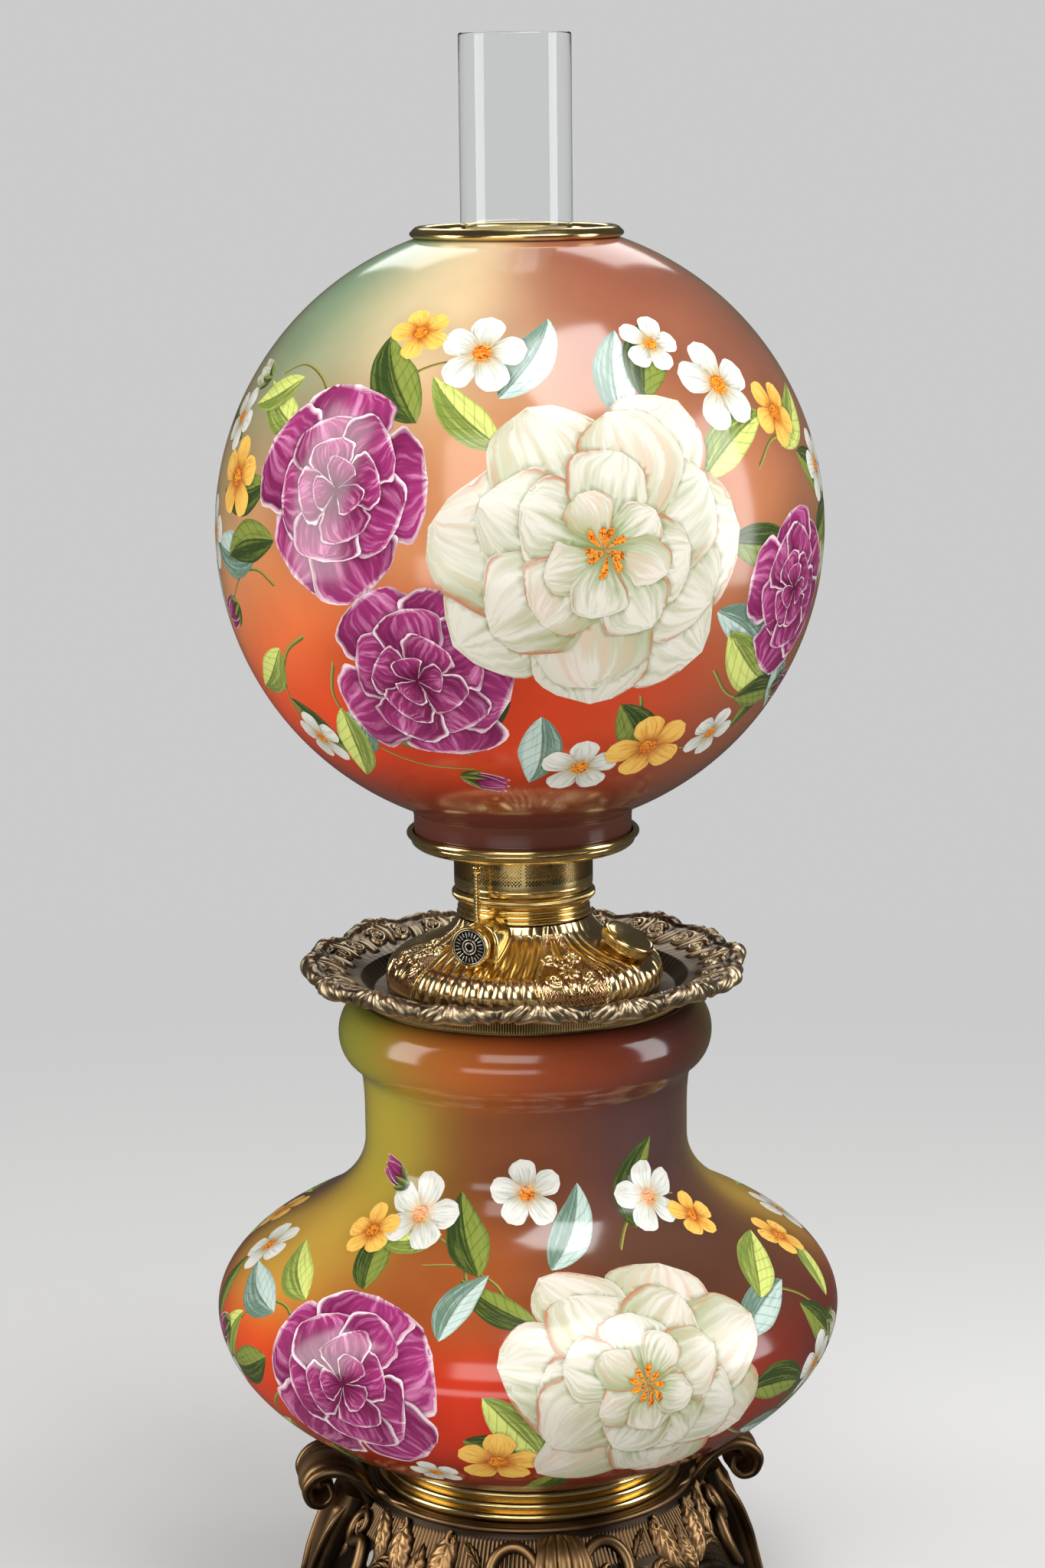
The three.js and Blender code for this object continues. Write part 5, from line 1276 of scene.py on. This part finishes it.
class Paint(Finish):
    """A glossy fired colour. colour(the paint) gives the colour socket, and shaded is the colour of
    what lies under another stroke."""

    def __init__(self, name, colour, rough=0.14, shaded=(0.02, 0.03, 0.01, 1)):
        super().__init__(name, Specular_IOR_Level=0.55)
        split = self.tree.nodes.new("ShaderNodeSeparateXYZ")
        self.put(split, {0: self.attribute("stroke", "Vector")})
        self.along, self.across = split.outputs[0], split.outputs[1]
        self.tint = self.attribute("tint")
        # The brush's streaks run along a stroke, and no two strokes have the same ones
        brush = self.add("CombineXYZ", {0: self.times(self.along, 1.6), 1: self.times(self.across, 5.0),
                                        2: self.times(self.tint, 37.0)})
        self.streak = self.noise(1.3, 3, brush)
        shadow = self.times(self.attribute("under"), self.spread(self.streak, 0.2, 0.8, 0.25, 0.75))
        self.set(Base_Color=self.mix(shadow, colour(self), shaded),
                 Roughness=self.spread(self.noise(24, 3), 0.3, 0.7, rough - 0.02, rough + 0.03))


def ivory_colour(f):
    wide = f.math("ABSOLUTE", f.across)
    shade = f.plus(f.spread(f.along, 0.05, 0.85, 1.0, 0.0), f.spread(f.streak, 0.35, 0.75, -0.3, 0.55))
    side = f.times(f.spread(f.across, -0.3, 1.0), f.spread(f.tint, 0.1, 0.9, 0.0, 0.7))
    colour = f.mix(f.plus(shade, side, clamp=True), (214, 208, 194), (146, 158, 110))
    colour = f.mix(f.spread(f.along, 0.02, 0.36, 0.85, 0.0), colour, (118, 124, 70))
    blush = f.times(f.spread(f.tint, 0.5, 0.95, 0.0, 0.6), f.spread(f.streak, 0.42, 0.68))
    colour = f.mix(blush, colour, (226, 190, 172))
    edge = f.times(f.spread(wide, 0.84, 0.97), f.spread(f.streak, 0.46, 0.58))
    colour = f.mix(f.times(edge, 0.8), colour, (186, 88, 62))
    return f.mix(f.times(f.spread(wide, 0.5, 1.0), 0.2), colour, (150, 150, 104))


def magenta_colour(f):
    wide = f.math("ABSOLUTE", f.across)
    shade = f.plus(f.spread(f.along, 0.1, 0.95), f.spread(f.streak, 0.3, 0.7, -0.35, 0.35), clamp=True)
    colour = f.mix(shade, (84, 6, 48), (158, 52, 112))
    light = f.times(f.spread(f.streak, 0.5, 0.72), f.spread(f.along, 0.4, 0.95))
    colour = f.mix(light, colour, (212, 146, 182))
    colour = f.mix(f.times(f.spread(f.across, 0.0, 0.9), 0.5), colour, (86, 8, 50))
    rim = f.math("MAXIMUM", f.spread(wide, 0.88, 0.96), f.spread(f.along, 0.93, 0.98))
    return f.mix(f.times(rim, f.spread(f.streak, 0.3, 0.55, 0.1, 0.95)), colour, (238, 214, 220))


def small_colour(pale, grey, middle):
    def colour(f):
        shade = f.spread(f.along, 0.1, 0.8, 0.8, 0.0)
        shade = f.plus(shade, f.spread(f.streak, 0.4, 0.7, -0.2, 0.5), clamp=True)
        return f.mix(f.spread(f.along, 0.1, 0.45, 0.9, 0.0), f.mix(shade, pale, grey), middle)
    return colour


def heart_colour(f):
    colour = f.mix(f.spread(f.streak, 0.35, 0.65), (206, 84, 24), (244, 172, 52))
    return f.mix(f.times(f.spread(f.noise(900, 2), 0.5, 0.62), 0.8), colour, (120, 30, 12))


def leaf_colour(light, dark, vein):
    def colour(f):
        wide = f.math("ABSOLUTE", f.across)
        half = f.plus(f.spread(f.across, -0.15, 0.15), f.spread(f.streak, 0.35, 0.7, -0.45, 0.45), clamp=True)
        ribs = f.math("SINE", f.math("SUBTRACT", f.times(f.along, 44.0), f.times(wide, 9.0)))
        base = f.mix(f.times(f.spread(ribs, 0.82, 1.0), 0.4), f.mix(half, light, dark), vein)
        base = f.mix(f.spread(wide, 0.03, 0.09, 0.8, 0.0), base, vein)
        return f.mix(f.times(f.spread(wide, 0.8, 1.0), 0.5), base, dark)
    return colour


def ground_colour(f):
    cloud = f.spread(f.noise(14, 4), 0.3, 0.7, 0.86, 1.1)
    grey = f.add("CombineXYZ", {0: cloud, 1: cloud, 2: cloud})
    return f.mix(1.0, f.attribute("ground", "Color"), grey, "MULTIPLY")


paints = {name: Paint("painted_" + name, *values).owner for name, values in {
    "ground": (ground_colour, 0.13),
    "ivory": (ivory_colour, 0.17, (104, 112, 66)),
    "magenta": (magenta_colour, 0.15, (60, 4, 36)),
    "white": (small_colour((222, 219, 210), (160, 168, 154), (198, 150, 62)), 0.17, (110, 112, 96)),
    "amber": (small_colour((236, 190, 92), (206, 128, 40), (166, 70, 22)), 0.17, (120, 60, 20)),
    "heart": (heart_colour, 0.18),
    "leaf": (leaf_colour((128, 140, 62), (50, 66, 30), (40, 52, 24)),),
    "bright_leaf": (leaf_colour((206, 214, 118), (116, 132, 58), (88, 100, 44)),),
    "pale_leaf": (leaf_colour((188, 206, 196), (98, 124, 106), (84, 104, 88)),),
    "stem": (leaf_colour((156, 150, 74), (92, 84, 40), (92, 84, 40)),),
}.items()}
shadow_under = {small_blossom: 0.12, ruffled_blossom: 0.28, great_blossom: 0.28}


def decorated(name, node, surface, spacing, ground_zero, clouds, rings, middle, items):
    """Paints a surface with the same spray in front and behind. Each cloud starts with its angle and
    its height above ground_zero; a ring is a cloud that goes all round. Each of a maker's items
    starts with its angle and its height above middle."""
    ground, patches, shadows = [], [], []
    for turn in (0, 180):
        ground += [(turn + angle, ground_zero + height, *cloud) for angle, height, *cloud in clouds]
        for maker, places in items.items():
            for angle, height, *values in places:
                centre = (turn + angle, surface.height(middle + height))
                patches += maker(centre, *values)
                if maker in shadow_under:
                    shadows.append((centre, values[0] * 1.1, shadow_under[maker]))
    ground += [(0, ground_zero + height, 0, *cloud) for height, *cloud in rings]
    painted(name, node, surface, patches, ground, shadows, spacing)


# Globe
globe_low, globe_high = ends("shade_globe")
ball_middle, ball, ball_wall = globe_low + 144.6, 137.3, 4
globe_line = arc(48.5, globe_low + 1.5, 1.5, -120, 0, 6)
globe_line = through([(46.4, globe_low + 1.5)] + globe_line[:5], 3).tolist() + globe_line[5:]
globe_line += [(50, z) for z in np.linspace(globe_low + 3, globe_low + 13, 6)]
globe_line += at(globe_low, (50.3, 15), (51.6, 16.8)) + arc(0, ball_middle, ball, -66.5, 71.74, 159)
globe_line += at(globe_high, (42.6, -0.3), (41.6, -1.0), (41.3, -3))
globe_clouds = [
    (-50, 88, 30, 46, (116, 142, 112)), (-76, 12, 24, 44, (172, 150, 108)),
    (-24, 100, 22, 36, (224, 194, 150)), (20, 104, 30, 34, (142, 84, 62)), (62, 60, 30, 44, (124, 78, 62)),
    (-52, -26, 24, 36, (214, 110, 58)), (-38, -70, 34, 36, (216, 60, 24)), (8, -66, 30, 36, (212, 66, 28)),
    (-20, 34, 30, 40, (226, 150, 98)), (34, 26, 28, 40, (212, 134, 86)), (72, -24, 26, 46, (146, 96, 70)),
    (52, -76, 26, 34, (140, 82, 54)),
]
globe_rings = [(-122, 26, (84, 50, 36)), (-145, 20, (74, 40, 34))]
globe_items = {
    stem: [
        (-44, -34, [(-16, -10), (-27, -30), (-30, -56)], 2.2),
        (-38, -44, [(-6, -20), (4, -42), (24, -54), (48, -56)], 2.0),
        (-50, -14, [(-14, 6), (-30, 2), (-46, -12)], 1.9),
        (50, 34, [(16, 12), (34, 10), (48, -4), (55, -24)], 2.0),
        (40, -50, [(14, -14), (34, -20), (56, -16)], 1.9), (-40, 62, [(-12, 14), (-28, 20), (-44, 14)], 1.8),
        (24, -58, [(6, -18), (22, -32), (44, -36)], 2.0), (-28, 62, [(8, 16), (24, 24), (42, 22)], 1.8),
    ],
    leaf: [
        (35, 32, "bright_leaf", 24, 54, 21, 0.12), (40, 6, "leaf", 2, 46, 19, -0.1),
        (38, -24, "pale_leaf", -40, 48, 19, 0.12), (20, 58, "pale_leaf", 76, 44, 19),
        (-3, 48, "bright_leaf", 128, 44, 18), (-4, -44, "leaf", -124, 46, 19),
        (-54, 30, "leaf", 184, 44, 19), (-46, 52, "bright_leaf", 146, 44, 18),
        (-34, -62, "pale_leaf", 236, 42, 18), (60, -46, "leaf", 252, 42, 17), (-20, 58, "leaf", 112, 46, 23),
        (-4, 68, "pale_leaf", 70, 44, 20, -0.15), (26, 66, "leaf", 62, 44, 21),
        (-56, -2, "pale_leaf", 172, 50, 21), (-50, 6, "leaf", 200, 44, 19, -0.14),
        (-53, -42, "bright_leaf", 210, 42, 17), (-57, -66, "leaf", 300, 38, 15),
        (-40, -66, "bright_leaf", 250, 46, 18), (-32, -78, "leaf", -20, 40, 16, 0.2),
        (60, 42, "bright_leaf", 40, 46, 19, -0.12), (66, 38, "leaf", -40, 42, 18),
        (76, 12, "bright_leaf", -84, 38, 16), (42, -34, "bright_leaf", -30, 56, 22, -0.12),
        (20, -62, "leaf", -70, 44, 20), (50, -66, "leaf", -10, 42, 17), (4, -66, "pale_leaf", -100, 42, 19),
        (-52, 74, "bright_leaf", 200, 36, 15), (62, -52, "pale_leaf", -60, 36, 16),
        (70, -2, "leaf", 10, 40, 17), (-69, 46, "leaf", 150, 38, 17), (74, -60, "bright_leaf", -70, 34, 16),
        (-79, -38, "pale_leaf", 96, 38, 16),
    ],
    small_blossom: [
        (46, 70, 22, 20), (62, 56, 17, 50, "amber"), (32, 88, 15, 0), (-8, 86, 20, 10),
        (-24, 94, 14, 40, "amber"), (14, -92, 18, 15), (30, -84, 20, 40, "amber"), (48, -82, 14, 0),
        (-66, 30, 19, 20, "amber"), (-74, 54, 15, 0), (78, 30, 18, 30), (-80, 2, 17, 10), (-54, -84, 15, 20),
    ],
    bud: [
        (-66, -26, 25, 200), (80, 4, 24, -90, "ivory"), (-16, -96, 22, -20), (-66, 72, 22, 172, "ivory"),
        (66, -66, 24, -4),
    ],
    ruffled_blossom: [
        (-35, 30, 46, 14), (-20, -50, 43, 60), (61, -20, 37, 30),
    ],
    great_blossom: [
        (15, 6, 72, 8),
    ],
}
decorated("globe_form", "shade_globe", Surface(globe_line), 3.4, ball_middle, globe_clouds, globe_rings,
          ball_middle, globe_items)
inner = arc(0, ball_middle, ball - ball_wall, 71.9, -69.8, 79)
under_paint = 0.4
skin = arc(0, ball_middle, ball - under_paint, -66, 71.7, 79)
lining = [*at(globe_low, (46.2, 1.5), (46.4, 0.4), (49.4, 0.4), (49.6, 15), (51.4, 18)), *skin,
          *at(globe_high, (42.8, -0.6), (41.5, -1.4)), *inner]
Build().add(turned(lining, 160)).piece("shade_globe", "opal", name="globe_lining", stands_for=False)

# Vase: a squat lower half, a rounder upper half, a concave shoulder, a neck and a rolled lip
foot, vase_top = ends("vase_body")
belly_radius, lower_tall, upper_tall, squareness = 145.5, 80, 62, 1.9
foot_radius, shoulder_radius, neck_radius, wall = 67, 110, 75, 6


def lower_share(share):
    """Where the lower half has this share of one of its half sizes, its share of the other one."""
    return (1 - share ** squareness) ** (1 / squareness)


drop = lower_tall * lower_share(foot_radius / belly_radius)
belly = foot + drop
vase_line = [(60, foot), (65.5, foot)]
for down in drop * np.cos(np.radians(np.linspace(0, 90, 60))):
    vase_line.append((belly_radius * lower_share(down / lower_tall), belly - down))
blend = upper_tall * math.sqrt(1 - (shoulder_radius / belly_radius) ** 2)
vase_line += [(belly_radius * math.sqrt(1 - (blend * t / upper_tall) ** 2), belly + blend * t)
              for t in np.linspace(0.03, 1, 32)]
slope = upper_tall ** 2 * shoulder_radius / (belly_radius ** 2 * blend)
vase_line += curve((shoulder_radius, belly + blend),
                   (neck_radius, belly + blend + slope * (shoulder_radius - neck_radius)),
                   (neck_radius, foot + 150.4), np.linspace(0.04, 1, 30))
vase_line += at(foot, (neck_radius, 165), (75.2, 172))
vase_line += curve(*at(foot, (75.8, 178.6), (76.2, 183.2), (80.96, 187.09)), np.linspace(0, 1, 14))
vase_line += arc(74.6, foot + 200.4, 12, -56, 90, 33, 15.7)
vase_line += at(vase_top, (71.5, -0.2), (69, -1.2), (68.1, -3), (68, -8))
vase = Surface(vase_line)
vase_clouds = [
    (-64, 200, 30, 14, (124, 128, 44)), (-22, 202, 26, 14, (172, 88, 38)), (14, 202, 24, 14, (128, 56, 32)),
    (58, 200, 34, 16, (70, 38, 34)), (-62, 156, 26, 22, (162, 146, 52)), (-8, 154, 28, 22, (122, 66, 36)),
    (46, 154, 34, 24, (78, 54, 52)), (-66, 108, 22, 20, (180, 146, 58)), (-20, 112, 24, 18, (156, 82, 38)),
    (40, 112, 34, 22, (92, 60, 44)), (-58, 64, 26, 26, (208, 66, 28)), (-10, 58, 32, 28, (208, 54, 28)),
    (32, 62, 22, 26, (150, 50, 30)), (72, 66, 26, 30, (86, 40, 34)), (-20, 26, 40, 14, (112, 42, 26)),
    (60, 26, 40, 16, (72, 40, 32)),
]
vase_items = {
    stem: [
        (-46, 14, [(-18, 12), (-38, 8), (-54, -8)], 2.0),
        (-50, -10, [(-14, -14), (-20, -32), (-10, -46)], 1.9), (46, 22, [(20, 8), (40, 0), (58, -16)], 2.0),
        (40, -26, [(18, -12), (40, -12), (58, -4)], 1.9), (-14, 40, [(-6, 16), (-20, 28), (-38, 32)], 1.8),
        (26, 50, [(10, 14), (26, 22), (42, 20)], 1.8), (-4, 36, [(-8, 14), (-24, 22), (-42, 20)], 1.9),
    ],
    leaf: [
        (42, 16, "pale_leaf", 14, 48, 19, 0.12), (42, -8, "leaf", -18, 48, 19), (2, 30, "leaf", 138, 42, 17),
        (-50, 28, "bright_leaf", 140, 44, 18), (-17, 24, "pale_leaf", 66, 40, 17),
        (-38, 36, "leaf", 104, 42, 18), (-12, -18, "leaf", -24, 38, 16), (-56, 20, "pale_leaf", 158, 46, 20),
        (-54, 2, "leaf", 196, 44, 19), (-66, 14, "bright_leaf", 250, 40, 17, -0.14),
        (-54, -30, "bright_leaf", 214, 38, 16), (-44, -36, "leaf", 262, 32, 15),
        (-12, 44, "leaf", 104, 44, 20), (-26, 56, "bright_leaf", 190, 34, 15),
        (6, 46, "pale_leaf", 76, 44, 19, -0.14), (34, 56, "leaf", 60, 44, 19),
        (52, 26, "bright_leaf", 32, 48, 20), (62, 18, "leaf", -34, 44, 19, -0.12),
        (46, -32, "pale_leaf", -24, 42, 17), (56, -28, "leaf", 20, 38, 16), (6, -38, "leaf", -120, 34, 16),
        (-8, 4, "bright_leaf", -60, 46, 19), (74, 12, "bright_leaf", 50, 34, 15),
        (-78, -2, "leaf", 100, 36, 16), (76, -20, "leaf", -30, 30, 14),
    ],
    small_blossom: [
        (-36, 62, 20, 12), (-50, 52, 15, 40, "amber"), (44, 66, 18, 20), (58, 54, 14, 0, "amber"),
        (0, 74, 17, 25), (-6, -30, 20, 10, "amber"), (66, -14, 18, 20), (80, -30, 14, 5), (-74, -22, 18, 30),
        (-79, 34, 17, 0), (-20, -42, 13, 30), (79, 36, 15, 10, "amber"),
    ],
    bud: [
        (-70, 6, 24, 210), (70, 4, 24, -30, "ivory"), (-44, 72, 20, 160), (62, -30, 22, 10),
    ],
    ruffled_blossom: [
        (-34, 2, 46, 20),
    ],
    great_blossom: [
        (21, 6, 62, 20),
    ],
}
decorated("vase_form", "vase_body", vase, 3.2, foot, vase_clouds, [(4, 16, (54, 34, 28))], belly, vase_items)
hollow_radius, hole_radius = 139, 45
under_paint, every = 0.5, 8  # how far the clay lies under the paint, and which samples it takes
samples = list(zip(vase.r, vase.z, vase.nr, vase.nz))
skin = [(r - under_paint * nr, z - under_paint * nz) for r, z, nr, nz in samples[40:-40:every]]
hollow = [(max(min(r - wall * nr, hollow_radius), hole_radius), max(z - wall * nz, foot + wall))
          for r, z, nr, nz in samples if foot + 4 < z < foot + 180][::-every]
lining = [*skin, (68.6, vase_top - 3.6), (68, vase_top - 8), (68.6, foot + 190), *hollow,
          (hole_radius, foot + wall), (hole_radius, foot), (63, foot + 0.1)]
Build().add(turned(lining, 128)).piece("vase_body", "bare_clay", name="vase_lining", stands_for=False)

# Stage and light
studio_grey, studio_dark = (0.6, 0.6, 0.605, 1), (0.06, 0.058, 0.056, 1)  # seen straight, and in a mirror
mesh = bpy.data.meshes.new("floor")
floor_half, floor_height = 30, -0.0005
corners = [(x * floor_half, y * floor_half, floor_height) for x, y in ((-1, -1), (1, -1), (1, 1), (-1, 1))]
mesh.from_pydata(corners, [], [(0, 1, 2, 3)])
f = Finish("floor", Roughness=0.7, Specular_IOR_Level=0.1)
reflected = f.mirrored()
f.set(Base_Color=f.mix(reflected, (206, 205, 203), (84, 80, 76)))
far = f.spread(f.add("VectorMath", {0: f.coords}, out="Value", operation="LENGTH"), 0.4, 1.5)
plain = f.add("Emission", {"Color": f.mix(reflected, studio_grey, studio_dark)})
faded = f.add("MixShader", {0: far, 1: f.shader.outputs[0], 2: plain})
f.put(f.tree.nodes["Material Output"], {"Surface": faded})
mesh.materials.append(f.owner)
stage = bpy.data.objects.new("floor", mesh)
bpy.context.scene.collection.objects.link(stage)

studio = Nodes(bpy.data.worlds.new("studio"), "Background")
bpy.context.scene.world = studio.owner
studio.set(Color=studio.mix(studio.mirrored(), studio_grey, studio_dark),
           Strength=studio.spread(studio.add("LightPath", out="Is Diffuse Ray"), 0.0, 1.0, 1.0, 0.6))


def softbox(name, place, target, width, height, power, colour=(1, 1, 1)):
    light = bpy.data.lights.new(name, "AREA")
    light.shape = "RECTANGLE"
    light.size, light.size_y, light.energy, light.color = width, height, power, colour
    holder = bpy.data.objects.new(name, light)
    holder.visible_camera = holder.visible_transmission = False
    holder.location = place
    holder.rotation_euler = (Vector(target) - Vector(place)).to_track_quat("-Z", "Y").to_euler()
    bpy.context.scene.collection.objects.link(holder)


softbox("above", (0.42, -0.55, 1.75), (0, 0, 0.5), 0.9, 0.8, 20, (0.96, 0.98, 1))
softbox("front", (-0.35, -1.9, 1.5), (0, 0, 0.4), 1.3, 0.9, 14, (1, 0.985, 0.97))
softbox("left", (-1.6, -0.35, 0.85), (0, 0, 0.4), 0.7, 1.5, 16.5, (1, 0.99, 0.97))
softbox("right", (1.6, -0.2, 0.75), (0, 0, 0.4), 0.6, 1.4, 14, (0.95, 0.97, 1))
softbox("low_front", (-0.5, -1.9, 0.22), (0, 0, 0.25), 1.6, 0.35, 6)
softbox("behind", (0, 1.7, 1.8), (0, 0, 0.4), 1.4, 1.0, 12)
